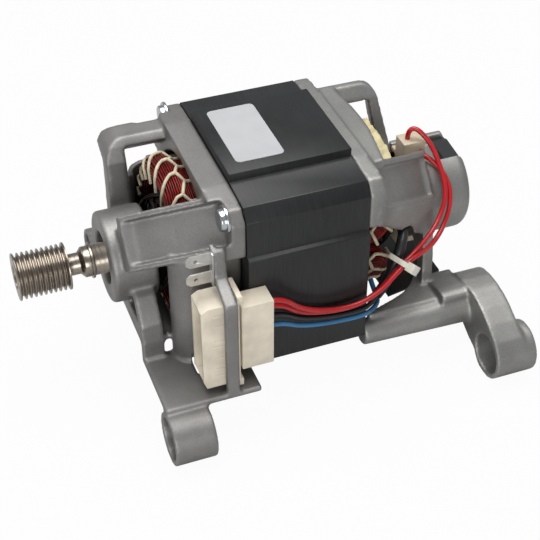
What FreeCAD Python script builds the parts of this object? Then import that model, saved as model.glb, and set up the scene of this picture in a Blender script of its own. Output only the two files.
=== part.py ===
import FreeCAD, Part
import math
import os
import re
from types import SimpleNamespace

import Sketcher

# Universal brush motor of a front-loading washing machine.
# Model axes: X runs along the shaft from the pulley's outer face to the rear,
# Y points away from the side with the connector, and Z points up.
# Each piece is built round the shaft axis, and its Placement stands the motor on its four lugs.

Vector = FreeCAD.Vector
X_AXIS = Vector(1, 0, 0)
Y_AXIS = Vector(0, 1, 0)
ORIGIN = Vector(0, 0, 0)

os.makedirs("parts", exist_ok=True)
doc = FreeCAD.newDocument("washing_machine_motor")

# Driving dimensions in millimetres, counts and degrees
SIZES = (
    ("pulley_length", 24.8, "length of the belt pulley"),
    ("pulley_flange_radius", 11.5, "outer edge of the pulley"),
    ("rib_tip_radius", 11.2, "crest of the belt grooves"),
    ("rib_valley_radius", 9.3, "bottom of the belt grooves"),
    ("rib_flat", 0.5, "flat at a crest or a valley"),
    ("groove_count", 10, "belt grooves"),
    ("pulley_edge", 0.7, "land at each end of the pulley"),
    ("shaft_recess", 1.2, "shaft end behind the pulley face"),
    ("neck_radius", 5.25, "shaft inside the pulley"),
    ("neck_end", 30.5, "end of the thin shaft neck"),
    ("cone_length", 2.0, "taper from the neck to the journal"),
    ("journal_radius", 7.5, "shaft in the front bearing"),
    ("ring_groove_start", 35.6, "groove for the shaft ring"),
    ("ring_groove_width", 1.1, "width of that groove"),
    ("ring_groove_depth", 0.5, "depth of that groove"),
    ("ring_height", 1.1, "how far the shaft ring stands proud"),
    ("trunk_radius", 8.5, "shaft inside the armature"),
    ("rear_journal_radius", 6.0, "shaft in the rear bearing"),
    ("hub_face", 42.3, "front face of the front hub"),
    ("hub_radius", 22.4, "outside of the front hub"),
    ("hub_length", 21.7, "length of the front hub"),
    ("hub_edge", 1.6, "rounding of the front hub"),
    ("hub_mouth_radius", 13.0, "opening in the front hub"),
    ("front_bearing_start", 48.0, "front face of the front bearing"),
    ("front_bearing_width", 11.0, "width of the front bearing"),
    ("front_bearing_radius", 17.5, "outside of the front bearing"),
    ("rear_bearing_start", 208.5, "front face of the rear bearing"),
    ("rear_bearing_width", 10.0, "width of the rear bearing"),
    ("rear_bearing_radius", 16.0, "outside of the rear bearing"),
    ("bearing_fit", 0.02, "clearance of a bearing ring in its seat"),
    ("ball_count", 8, "balls in each bearing"),
    ("stack_start", 97.3, "front of the stator stack"),
    ("stack_length", 59.8, "length of the stator stack"),
    ("armature_radius", 27.5, "outside of the armature"),
    ("air_gap", 0.5, "gap between the armature and the stator"),
    ("slot_outer_radius", 42.5, "bottom of the field coil slots"),
    ("slot_half_angle", 38, "half angle of a field coil slot"),
    ("pole_tip", 2.0, "thickness of the pole tips"),
    ("crown_height", 53.1, "raised flat on the stack, above the shaft axis"),
    ("crown_half_width", 27.9, "half width of the raised flat"),
    ("shoulder_height", 48.7, "shoulder beside the raised flat"),
    ("corner_height", 47.4, "corner of the stack above the axis"),
    ("corner_half_width", 46.1, "corner of the stack from the middle"),
    ("side_half_width", 51.1, "flat side of the stack"),
    ("chamfer_low", 41.5, "lower end of the corner chamfer"),
    ("ledge_height", 22.7, "height of the step in the side"),
    ("ledge_depth", 2.3, "depth of the step in the side"),
    ("lower_side_end", 41.0, "lower end of the wide side"),
    ("bolt_half_spacing", 45.0, "bolts from the middle, sideways"),
    ("bolt_height", 42.5, "bolts from the axis, up and down"),
    ("bolt_radius", 2.5, "shank of a through bolt"),
    ("bolt_hole_clearance", 0.3, "room round a bolt"),
    ("bolt_engagement", 6.5, "bolt thread inside the rear bracket"),
    ("bolt_head_radius", 6.6, "flange of a bolt head"),
    ("bolt_head_height", 3.8, "height of a bolt head"),
    ("front_frame_start", 84.0, "front of the front bracket's frame"),
    ("bolt_seat", 90.0, "face under the bolt heads"),
    ("frame_opening", 43.6, "opening in both frames"),
    ("rear_frame_length", 8.0, "length of the rear bracket's frame"),
    ("lug_half_spacing", 74.0, "lugs from the middle, sideways"),
    ("lug_drop", 54.5, "lugs below the axis"),
    ("lug_radius", 13.0, "outside of a lug"),
    ("lug_bore", 10.5, "bore of a lug"),
    ("front_lug_start", 49.5, "front face of the front lugs"),
    ("front_lug_length", 20.6, "length of the front lugs"),
    ("rear_lug_start", 214.5, "front face of the rear lugs"),
    ("rear_lug_length", 22.0, "length of the rear lugs"),
    ("plate_thickness", 3.0, "bottom plate of the front bracket"),
    ("plate_top", -40.0, "top of that plate"),
    ("plate_outer", 70.5, "outer edge of that plate"),
    ("leg_face", 34.3, "outer face of the upright leg walls"),
    ("leg_start", 50.0, "front of the legs between hub and plate"),
    ("leg_thickness", 3.5, "wall of those legs"),
    ("leg_depth", 11.0, "depth of those legs along the shaft"),
    ("web_top", -20.5, "top of the cross web between the legs"),
    ("web_bottom", -31.0, "underside of that web"),
    ("web_reach", 19.0, "reach of its floor towards the coil"),
    ("shield_start", 65.0, "front end of the coil shield"),
    ("shield_face", 44.0, "outer face of the coil shield"),
    ("shield_thickness", 3.0, "thickness of the coil shield"),
    ("strap_start", 80.0, "front of the connector strap"),
    ("strap_width", 6.5, "width of the connector strap"),
    ("strap_thickness", 3.0, "thickness of the connector strap"),
    ("housing_start", 196.0, "front of the rear housing"),
    ("housing_end", 227.0, "closed end of the rear housing"),
    ("housing_radius", 24.0, "outside of the rear housing"),
    ("housing_edge", 4.5, "rounding of the closed end"),
    ("brush_chamber_radius", 20.0, "inside of the housing round the commutator"),
    ("tacho_chamber_radius", 13.5, "inside of the housing behind the bearing"),
    ("housing_wall", 2.2, "closed end of the housing"),
    ("housing_slot_half_width", 9.5, "half width of the brush slots"),
    ("housing_slot_floor", 18.4, "floor of the brush slots behind the commutator"),
    ("gusset_bottom", -38.0, "underside of the gussets"),
    ("guard_half_width", 33.0, "half width of the guard under the commutator"),
    ("guard_thickness", 1.4, "thickness of that guard"),
    ("guard_gap", 2.71, "guard behind the coil ends"),
    ("armature_front_winding", 64.5, "front end of the armature winding"),
    ("armature_rear_winding", 186.5, "rear end of the armature winding"),
    ("winding_step", 0.9, "armature winding inside the outside of the armature"),
    ("armature_slots", 12, "slots in the armature"),
    ("commutator_start", 188.0, "front of the commutator"),
    ("commutator_length", 19.5, "length of the commutator"),
    ("commutator_radius", 17.0, "running face of the commutator"),
    ("commutator_bars", 24, "bars of the commutator"),
    ("bar_depth", 3.5, "depth of a commutator bar"),
    ("hook_height", 1.3, "height of a wire hook on its bar"),
    ("hook_length", 3.0, "length of a wire hook"),
    ("coil_slot_clearance", 2.3, "field coils inside the bottom of their slots"),
    ("coil_pole_clearance", 2.2, "field coils above the pole tips"),
    ("coil_wire", 0.9, "thickness of the drawn coil wire"),
    ("coil_turns", 12, "turns in the outer layer of a coil"),
    ("coil_pitch", 1.6, "turn to turn in the slots"),
    ("coil_front_pitch", 1.85, "turn to turn at the front coil ends"),
    ("coil_rear_pitch", 1.34, "turn to turn at the rear coil ends"),
    ("coil_corner", 3.0, "bend between a slot side and a coil end"),
    ("coil_front_gap", 5.0, "innermost turn beyond the front of the stack"),
    ("coil_rear_gap", 4.0, "innermost turn beyond the rear of the stack"),
    ("coil_pole_angle", 32, "angle from the side to the innermost turn"),
    ("coil_clearance", 1.5, "castings round the coil ends"),
    ("coil_core_gap", 0.1, "outer turns above the body of the coil"),
    ("sheet_thickness", 0.5, "insulating sheet over a coil end"),
    ("sheet_far_edge", 35, "far edge of that sheet, in degrees from +Y"),
    ("sheet_near_edge", 125, "near edge of that sheet, in degrees from +Y"),
    ("liner_thickness", 0.5, "slot liner"),
    ("label_length", 23.6, "bare label plate, along the motor"),
    ("label_width", 45.0, "bare label plate, across the motor"),
    ("label_thickness", 0.3, "thickness of the label plate"),
    ("label_start", 103.6, "front edge of the label plate"),
    ("label_offset", 1.8, "middle of the label plate from the middle of the motor"),
    ("earth_tab_reach", 12.5, "earth tabs in front of the strap"),
    ("earth_tab_side", 55.0, "outer face of the earth tabs"),
    ("connector_front", 70.0, "front face of the connector"),
    ("connector_split", 88.0, "face between the connector halves"),
    ("connector_rear", 105.0, "rear face of the connector"),
    ("connector_near", 66.8, "outer side of the connector"),
    ("connector_far", 52.2, "inner side of the connector"),
    ("connector_top", 12.0, "top of the front connector half"),
    ("connector_bottom", -36.0, "bottom of the front connector half"),
    ("connector_wall", 1.6, "wall of the connector"),
    ("contact_count", 6, "contacts in the connector"),
    ("wire_radius", 1.25, "insulated wire"),
    ("sleeve_radius", 2.6, "black sleeve over the coil leads"),
    ("brush_width", 6.0, "carbon brush, across the motor"),
    ("brush_length", 8.0, "carbon brush, along the shaft"),
    ("brush_height", 9.0, "carbon brush, towards the shaft"),
    ("brush_start", 198.0, "front face of the carbon brushes"),
    ("brush_gap", 0.1, "brush above the commutator"),
    ("holder_wall", 1.6, "wall of a brush holder"),
    ("holder_end", 31.0, "outer end of a brush holder"),
    ("running_gap", 0.3, "clearance of a sliding piece"),
)

sheet = doc.addObject("Spreadsheet::Sheet", "Sizes")
for row, (alias, number, meaning) in enumerate(SIZES, 1):
    sheet.set(f"A{row}", str(number))
    sheet.setAlias(f"A{row}", alias)
    sheet.set(f"B{row}", meaning)
doc.recompute()
ALIASES = {alias for alias, number, meaning in SIZES}
mm = SimpleNamespace(**{alias: float(sheet.get(alias)) for alias in ALIASES})

# The overall length and the height of the axis follow from the lugs.
overall_length = mm.rear_lug_start + mm.rear_lug_length
axis_height = mm.lug_drop + mm.lug_radius
LENGTH_TEXT = "(rear_lug_start + rear_lug_length)"
HEIGHT_TEXT = "(lug_drop + lug_radius)"
BORE_TEXT = "(armature_radius + air_gap)"
WINDING_TEXT = "(armature_radius - winding_step)"
STAND = FreeCAD.Placement(Vector(-overall_length / 2, 0, axis_height), FreeCAD.Rotation())
pieces = []


def bound(text):
    """Turn names of sizes into cells of the sheet."""
    return re.sub(r"[a-z_]+\w*", lambda m: "Sizes." + m[0] if m[0] in ALIASES else m[0], text)


def value(text):
    """Work out a size text as a number."""
    result = sheet.evalExpression(text)
    return float(getattr(result, "Value", result))


def keep(piece, label):
    """Give a piece its label and list it for export."""
    piece.Label = label
    pieces.append(piece)
    return piece


def stand(piece):
    """Bind the Placement that stands a piece with the others."""
    piece.setExpression("Placement.Base.x", bound(f"-{LENGTH_TEXT} / 2"))
    piece.setExpression("Placement.Base.z", bound(HEIGHT_TEXT))


def pin(sketch, index, position, x_text, y_text):
    """Bind one sketch point to its two size texts."""
    for kind, text, axis in (("DistanceX", x_text, -2), ("DistanceY", y_text, -1)):
        if abs(value(text)) < 1e-9:
            sketch.addConstraint(Sketcher.Constraint("PointOnObject", index, position, axis))
            continue
        number = sketch.addConstraint(Sketcher.Constraint(kind, -1, 1, index, position, value(text)))
        sketch.setExpression(f"Constraints[{number}]", bound(text))


def add_outline(sketch, points):
    """Draw a closed outline of straight lines through points given as size texts."""
    places = [Vector(value(x), value(y), 0) for x, y in points]
    first = sketch.GeometryCount
    count = len(points)
    for index in range(count):
        sketch.addGeometry(Part.LineSegment(places[index], places[(index + 1) % count]), False)
    for index in range(count):
        following = first + (index + 1) % count
        sketch.addConstraint(Sketcher.Constraint("Coincident", first + index, 2, following, 1))
    for index, (x_text, y_text) in enumerate(points):
        pin(sketch, first + index, 1, x_text, y_text)


def add_circle(sketch, x_text, y_text, radius_text):
    """Draw a circle whose centre and radius are size texts."""
    centre = Vector(value(x_text), value(y_text), 0)
    circle = Part.Circle(centre, Vector(0, 0, 1), value(radius_text))
    index = sketch.addGeometry(circle, False)
    pin(sketch, index, 3, x_text, y_text)
    number = sketch.addConstraint(Sketcher.Constraint("Radius", index, value(radius_text)))
    sketch.setExpression(f"Constraints[{number}]", bound(radius_text))


def add_sketch(body, name, plane, offset, outlines=(), circles=()):
    """Make a sketch on an origin plane of a body, moved along the plane's normal."""
    sketch = body.newObject("Sketcher::SketchObject", name)
    planes = [item for item in body.Origin.OriginFeatures if item.Role == plane]
    sketch.AttachmentSupport = [(planes[0], "")]
    sketch.MapMode = "FlatFace"
    sketch.setExpression("AttachmentOffset.Base.z", bound(offset))
    for points in outlines:
        add_outline(sketch, points)
    for circle in circles:
        add_circle(sketch, *circle)
    doc.recompute()
    return sketch


def add_pad(body, name, sketch, length):
    """Push a sketch out to a solid."""
    pad = body.newObject("PartDesign::Pad", name)
    pad.Profile = sketch
    pad.setExpression("Length", bound(length))
    return pad


def add_pocket(body, name, sketch, length):
    """Cut a sketch into the solid, along the normal of its plane."""
    pocket = body.newObject("PartDesign::Pocket", name)
    pocket.Profile = sketch
    pocket.Reversed = True
    pocket.setExpression("Length", bound(length))
    return pocket


def new_body(label):
    """Start a body that stands with the others."""
    body = keep(doc.addObject("PartDesign::Body", label), label)
    stand(body)
    return body


def turned(label, points):
    """Make a body by turning an outline of distance and radius about the shaft axis."""
    body = new_body(label)
    sketch = add_sketch(body, label + "_outline", "XZ_Plane", "0", [points])
    turn = body.newObject("PartDesign::Revolution", label + "_turn")
    turn.Profile = sketch
    turn.ReferenceAxis = (sketch, ["H_Axis"])
    turn.Angle = 360
    return body


def ring(label, start, length, inner, outer):
    """Make a plain ring round the shaft axis from size texts."""
    end = f"{start} + {length}"
    return turned(label, [(start, inner), (start, outer), (end, outer), (end, inner)])


def shaped(label, shape):
    """Add a piece whose shape is made with Part's own functions."""
    piece = keep(doc.addObject("Part::Feature", label), label)
    piece.Shape = shape
    piece.Placement = STAND.multiply(piece.Placement)
    return piece


def slab(axis, points, start, end):
    """Push an outline along X, Y or Z; its points hold the other two coordinates in order."""
    order = {"X": lambda a, b: Vector(start, a, b),
             "Y": lambda a, b: Vector(a, start, b),
             "Z": lambda a, b: Vector(a, b, start)}[axis]
    push = {"X": Vector(1, 0, 0), "Y": Vector(0, 1, 0), "Z": Vector(0, 0, 1)}[axis]
    corners = [order(a, b) for a, b in points]
    face = Part.Face(Part.makePolygon(corners + corners[:1]))
    return face.extrude(push * (end - start))


def block(x0, x1, y0, y1, z0, z1):
    """Make a box from its limits."""
    return Part.makeBox(x1 - x0, y1 - y0, z1 - z0, Vector(x0, y0, z0))


def rod(y, z, radius, start, end):
    """Make a cylinder along the shaft direction."""
    return Part.makeCylinder(radius, end - start, Vector(start, y, z), X_AXIS)


def tapered(start, first, end, last):
    """Join two outlines of the same number of points at two places along the shaft."""
    wires = []
    for x, points in ((start, first), (end, last)):
        corners = [Vector(x, y, z) for y, z in points]
        wires.append(Part.makePolygon(corners + corners[:1]))
    return Part.makeLoft(wires, True, True)


def mirrored(shape):
    """Copy a shape to the other side of the motor."""
    return shape.mirror(ORIGIN, Y_AXIS)


def joined(shapes):
    """Fuse solids into one."""
    return shapes[0].multiFuse(shapes[1:]).removeSplitter()


def rounded(shape, radius, chosen):
    """Round the edges of a shape for which a test on the edge is true."""
    return shape.makeFillet(radius, [edge for edge in shape.Edges if chosen(edge)])


def circle_at(x, radius):
    """Test for a full circle of one radius at one place along the shaft."""
    def test(edge):
        curve = edge.Curve
        return (isinstance(curve, Part.Circle) and abs(curve.Radius - radius) < 1e-6
                and abs(curve.Center.x - x) < 1e-6)
    return test


def is_across_at(edge, x, z):
    """Test for a straight edge across the motor at one place."""
    start, end = edge.Vertexes[0].Point, edge.Vertexes[-1].Point
    return all(abs(point.x - x) < 1e-6 and abs(point.z - z) < 1e-6 for point in (start, end))


def channel(top, bottom, rail, depth, floor):
    """Work out the section of an open channel between two edge points (y, z)."""
    span = math.hypot(bottom[0] - top[0], bottom[1] - top[1])
    along = ((bottom[0] - top[0]) / span, (bottom[1] - top[1]) / span)
    inward = (-along[1], along[0])

    def at(corner, step, sink):
        return (corner[0] + along[0] * step + inward[0] * sink,
                corner[1] + along[1] * step + inward[1] * sink)
    return [at(top, 0, 0), at(top, rail, 0), at(top, rail, depth), at(bottom, -rail, depth),
            at(bottom, -rail, 0), at(bottom, 0, 0), at(bottom, 0, depth + floor),
            at(top, 0, depth + floor)]


stack_end = mm.stack_start + mm.stack_length
front_overhang = mm.coil_front_gap + (mm.coil_turns - 1) * mm.coil_front_pitch + mm.coil_wire / 2
rear_overhang = mm.coil_rear_gap + (mm.coil_turns - 1) * mm.coil_rear_pitch + mm.coil_wire / 2
coil_front = mm.stack_start - front_overhang
coil_rear = stack_end + rear_overhang
stator_bore = mm.armature_radius + mm.air_gap
coil_radius = mm.slot_outer_radius - mm.coil_slot_clearance
coil_inner = stator_bore + mm.pole_tip + mm.coil_pole_clearance


def frame_outline(low):
    """Outline of a bracket frame above one height, the same as the stack's corner outline."""
    half = [(mm.crown_half_width, mm.shoulder_height), (mm.corner_half_width, mm.corner_height),
            (mm.side_half_width, mm.chamfer_low), (mm.side_half_width, low)]
    return half + [(-y, z) for y, z in reversed(half)]


def bolt_places():
    """Centres of the four through bolts."""
    return [(side * mm.bolt_half_spacing, level * mm.bolt_height)
            for side in (-1, 1) for level in (1, -1)]


def lug(side, start, length):
    """One mounting lug without its bore."""
    return rod(side * mm.lug_half_spacing, -mm.lug_drop, mm.lug_radius, start, start + length)


def lug_bores(start, length):
    """The two bores through a pair of lugs."""
    return [rod(side * mm.lug_half_spacing, -mm.lug_drop, mm.lug_bore, start - 1, start + length + 1)
            for side in (-1, 1)]


def front_bracket():
    """Cast bracket with the front hub, two upper arms, two legs, plates and lugs."""
    hub_end = mm.hub_face + mm.hub_length
    hub = rod(0, 0, mm.hub_radius, mm.hub_face, hub_end)
    hub = rounded(hub, mm.hub_edge, circle_at(mm.hub_face, mm.hub_radius))
    ring_top = slab("X", frame_outline(mm.ledge_height), mm.front_frame_start, mm.stack_start)
    opening = rod(0, 0, mm.frame_opening, mm.front_frame_start - 1, mm.stack_start + 1)
    frame = ring_top.cut(opening)

    # The near upper arm is an open channel that widens towards the bolt.
    rail, depth, floor = 3.0, 3.4, 2.5
    arm_front = channel((-14, 33), (-31, 13), rail, depth, floor)
    arm_rear = channel((-33, 47.5), (-51, 28), rail, depth, floor)
    near_arm = tapered(mm.leg_start - 2, arm_front, mm.bolt_seat, arm_rear)
    near_root = slab("X", [(-8, 18), (-14, 33), (-31, 13), (-19, 5)], mm.leg_start - 2, hub_end)

    # The far upper arm is an upright plate from the hub with a bar along the motor, round at its elbow.
    bar_low, post_rear = 42.5, 63.0
    elbow = slab("Y", [(52.2, 0), (53.2, 46), (mm.bolt_seat, 46), (mm.bolt_seat, bar_low),
                       (post_rear, bar_low), (post_rear + 0.6, 0)], -5, 60)
    elbow = rounded(elbow, 10, lambda edge: is_across_at(edge, 53.2, 46))
    elbow = rounded(elbow, 1.5, lambda edge: is_across_at(edge, post_rear, bar_low))
    upright = slab("X", [(14, 2), (18.8, 4), (22.5, 36), (25, bar_low), (28.5, 46), (39.5, 46), (41.8, 43.6),
                         (41.8, 38), (31, 34), (28, 4), (20, 1)], mm.leg_start, mm.bolt_seat)
    bar_rib = slab("X", [(25.4, bar_low), (37, 33), (41.8, 36), (41.8, 43.6), (39.5, 46), (28.5, 46)],
                   post_rear, mm.bolt_seat)
    far_arm = elbow.common(upright)

    # Legs, bottom plates, coil shields and lugs on both sides
    plate_bottom = mm.plate_top - mm.plate_thickness
    leg_back = mm.leg_thickness - mm.leg_face
    leg_outline = [(-19, -3), (-25, -8), (1.3 - mm.leg_face, -19.5), (-mm.leg_face, -30),
                   (-mm.leg_face, plate_bottom), (leg_back, plate_bottom), (leg_back, -30.5),
                   (leg_back + 0.7, -21.5), (-22.1, -10), (-15, -8)]
    leg = slab("X", leg_outline, mm.leg_start, mm.leg_start + mm.leg_depth)
    plate_outline = [(mm.leg_start, leg_back), (mm.leg_start, -mm.plate_outer),
                     (mm.stack_start, -mm.plate_outer), (mm.stack_start, leg_back)]
    plate = slab("Z", plate_outline, plate_bottom, mm.plate_top)
    bend = mm.shield_start + 12
    inner_face = mm.shield_face - mm.shield_thickness
    shield = block(bend, mm.stack_start, -mm.shield_face, -inner_face, plate_bottom, mm.ledge_height)
    turn_centre = Vector(bend, -mm.shield_face + 12, plate_bottom)
    height = mm.ledge_height - 2 - plate_bottom
    curl = Part.makeCylinder(12, height, turn_centre, Vector(0, 0, 1), 90)
    curl = curl.cut(Part.makeCylinder(12 - mm.shield_thickness, height, turn_centre))
    curl.rotate(turn_centre, Vector(0, 0, 1), 180)
    ear = rod(-mm.bolt_half_spacing, -mm.bolt_height, 7, mm.bolt_seat, mm.stack_start)
    half = [leg, plate, shield, curl, ear, lug(-1, mm.front_lug_start, mm.front_lug_length)]

    # A cross web with a floor joins both legs under the hub.
    web_back = mm.leg_start + mm.leg_thickness
    web_end = mm.leg_start + mm.web_reach
    floor_top = mm.web_bottom + 3
    web_outline = [(mm.leg_start, mm.web_top), (web_back, mm.web_top), (web_back, floor_top),
                   (web_end, floor_top), (web_end, mm.web_bottom), (mm.leg_start, mm.web_bottom)]
    web = slab("Y", web_outline, -mm.leg_face + 1, mm.leg_face - 1)

    # The strap in front of the connector belongs to the casting.
    outer = -mm.plate_outer
    inner = outer + mm.strap_thickness
    strap_outline = [(outer, plate_bottom), (outer, 13.8), (-56, 19.5), (-54, 32), (-48, 34),
                     (-50, 28), (-53, 17.5), (inner, 12.6), (inner, plate_bottom)]
    strap = slab("X", strap_outline, mm.strap_start, mm.strap_start + mm.strap_width)
    solids = [hub, frame, near_arm, near_root, far_arm, bar_rib, web, strap] + half
    body = joined(solids + [mirrored(solid) for solid in half])

    bearing_end = mm.front_bearing_start + mm.front_bearing_width
    seat_radius = mm.front_bearing_radius + mm.bearing_fit
    cuts = [rod(0, 0, mm.hub_mouth_radius, mm.hub_face - 1, hub_end + 30),
            rod(0, 0, seat_radius, mm.front_bearing_start, bearing_end),
            rod(0, 0, seat_radius, bearing_end - 1, hub_end + 30)]
    cuts += lug_bores(mm.front_lug_start, mm.front_lug_length)
    for y, z in bolt_places():
        cuts.append(rod(y, z, mm.bolt_radius + mm.bolt_hole_clearance, mm.bolt_seat - 1, 99))
        cuts.append(rod(y, z, mm.bolt_head_radius + 0.6, mm.front_frame_start - 12, mm.bolt_seat))

    # The channel's floor runs on through the frame as far as the bolt.
    cut_start = mm.front_frame_start - 1
    share = (mm.bolt_seat - cut_start) / (mm.bolt_seat - mm.leg_start + 2)
    (top_y, top_z), (low_y, low_z) = arm_rear[2:4]
    trough_outline = [(top_y, top_z), (low_y, low_z), (low_y - 14.7, low_z + 13.6),
                      (top_y - 14.7, top_z + 13.6)]
    corners = [Vector(mm.bolt_seat, y, z) for y, z in trough_outline]
    slant = Vector(cut_start - mm.bolt_seat, (arm_front[2][0] - top_y) * share,
                   (arm_front[2][1] - top_z) * share)
    cuts.append(Part.Face(Part.makePolygon(corners + corners[:1])).extrude(slant))
    cuts.append(rod(0, 0, coil_radius + mm.coil_clearance, coil_front - mm.coil_clearance,
                    mm.stack_start + 1))
    return body.cut(cuts)


def rear_bracket():
    """Cast bracket with the bearing and brush housing, arms, posts, tubes and lugs."""
    frame_end = stack_end + mm.rear_frame_length
    drum = rod(0, 0, mm.housing_radius, mm.housing_start, mm.housing_end)
    drum = rounded(drum, mm.housing_edge, circle_at(mm.housing_end, mm.housing_radius))
    ring_top = slab("X", frame_outline(mm.ledge_height), stack_end, frame_end)
    frame = ring_top.cut(rod(0, 0, mm.frame_opening, stack_end - 1, frame_end + 1))

    # The plate over the coil ends bows out between the two upper arms.
    top_plate = slab("Z", [(frame_end - 3, -34), (171.8, -33), (173.9, -20.6), (175.9, -8), (176.7, 4),
                           (176.2, 15), (175.1, 24), (174.0, 36), (frame_end - 3, 36)], 41, 46.6)

    # The near upper arm is an open channel with a wall below it, down to the coil.
    rail, depth, floor = 3.0, 3.8, 2.8
    arm_start, arm_stop = frame_end - 2, mm.housing_start + 8
    arm_front = channel((-34, 48), (-52, 31), rail, depth, floor)
    arm_rear = channel((-11, 30), (-27.5, 11), rail, depth, floor)
    near_arm = tapered(arm_start, arm_front, arm_stop, arm_rear)
    near_root = slab("X", [(-9.5, 18), (-9.5, 30), (-27, 10), (-20, 4)], mm.housing_start, arm_stop)
    wall_front = [(-52, 31), (-50.6, 22.5), (-47.6, 22.5), (-47, 31)]
    wall_rear = [(-28.5, 13), (-29.5, -9), (-26.5, -9), (-20, 13)]
    near_wall = tapered(arm_start - 1, wall_front, mm.housing_start + 5, wall_rear)
    scallop = Part.makeCylinder(8.8, 30, Vector(180.4, -60, -0.2), Y_AXIS)
    near_wall = near_wall.cut(scallop)

    # The far upper arm is a leaning plate with a round elbow, from the frame down to the drum.
    bar_start, bar_low = arm_start + 1, 38.7
    elbow = slab("Y", [(bar_start, 46), (195.3, 46), (202.8, 4), (194.5, 4), (191, bar_low),
                       (bar_start, bar_low)], 0, 60)
    elbow = rounded(elbow, 8.5, lambda edge: is_across_at(edge, 195.3, 46))
    elbow = rounded(elbow, 2, lambda edge: is_across_at(edge, 191, bar_low))
    lean = slab("X", [(33.5, 46), (29, 40), (17, 4), (22, 4), (34.5, 36), (38, 41), (37.5, 46)],
                arm_start, arm_stop + 3)
    far_arm = elbow.common(lean)
    far_rail = block(mm.housing_start, mm.housing_end - 2, 9.5, 12.9, 16, 22.6)

    # Post, gusset, web, tube and arm to each rear lug
    post = slab("X", [(-22, 6), (-29.5, 6), (-33.5, -18), (-35, -37), (-28, -37), (-27.5, -24),
                      (-19, -12)], mm.housing_start + 0.5, mm.housing_start + 6.5)
    gusset_outline = [(162, -44.8), (178.7, -39.4), (185, -36.7), (191.5, -32), (195.5, -27),
                      (mm.housing_start + 6, -24), (mm.housing_start + 6, -47.5), (162, -47.5)]
    gusset = slab("Z", gusset_outline, mm.gusset_bottom, mm.gusset_bottom + 3.2)
    tube_end = mm.rear_lug_start + 2
    tube = Part.makeCone(6.4, 8.0, tube_end - stack_end, Vector(stack_end, -48.5, -43.5), X_AXIS)
    arm_end = mm.rear_lug_start + 16
    arm_outline = [(-32, -38), (-33, -34), (-37, -31.6), (-44, -30.2), (-52, -30.2), (-59, -31.3),
                   (-65, -33.3), (-73, -37.2), (-81, -42.4), (-85.5, -47.5), (-87, -54.5),
                   (-80, -65), (-72, -64), (-55, -58), (-46, -53), (-41, -46)]
    arm = slab("X", arm_outline, mm.rear_lug_start, arm_end)
    web_outline = [(-27.5, -38), (-28, -35), (-33, -34.5), (-37, -33), (-44, -31.5), (-48.5, -31),
                   (-52, -32), (-52, -38)]
    web = slab("X", web_outline, mm.housing_start + 4, mm.rear_lug_start + 1)
    half = [post, gusset, tube, web, arm, lug(-1, mm.rear_lug_start, mm.rear_lug_length)]
    solids = [drum, frame, top_plate, near_arm, near_root, near_wall, far_arm, far_rail] + half
    body = joined(solids + [mirrored(solid) for solid in half])

    chamber_end = mm.rear_bearing_start + mm.rear_bearing_width
    inner_end = mm.housing_end - mm.housing_wall
    slot = mm.housing_slot_half_width
    floor_level = mm.housing_slot_floor
    cuts = [rod(0, 0, mm.brush_chamber_radius, mm.housing_start - 40, mm.rear_bearing_start - 0.3),
            rod(0, 0, mm.rear_bearing_radius + mm.bearing_fit, mm.rear_bearing_start - 1, chamber_end),
            rod(0, 0, mm.tacho_chamber_radius, chamber_end - 1, inner_end),
            block(mm.housing_start - 1, mm.housing_end + 1, -slot, slot, floor_level, 60),
            block(mm.housing_start - 1, mm.housing_end + 1, -slot, slot, -60, -floor_level)]
    cuts += lug_bores(mm.rear_lug_start, mm.rear_lug_length)
    for y, z in bolt_places():
        cuts.append(rod(y, z, mm.bolt_radius, stack_end - 1, stack_end + mm.bolt_engagement + 0.5))
    cuts.append(rod(0, 0, coil_radius + mm.coil_clearance, stack_end - 1,
                    coil_rear + mm.coil_clearance))
    return body.cut(cuts)


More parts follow.
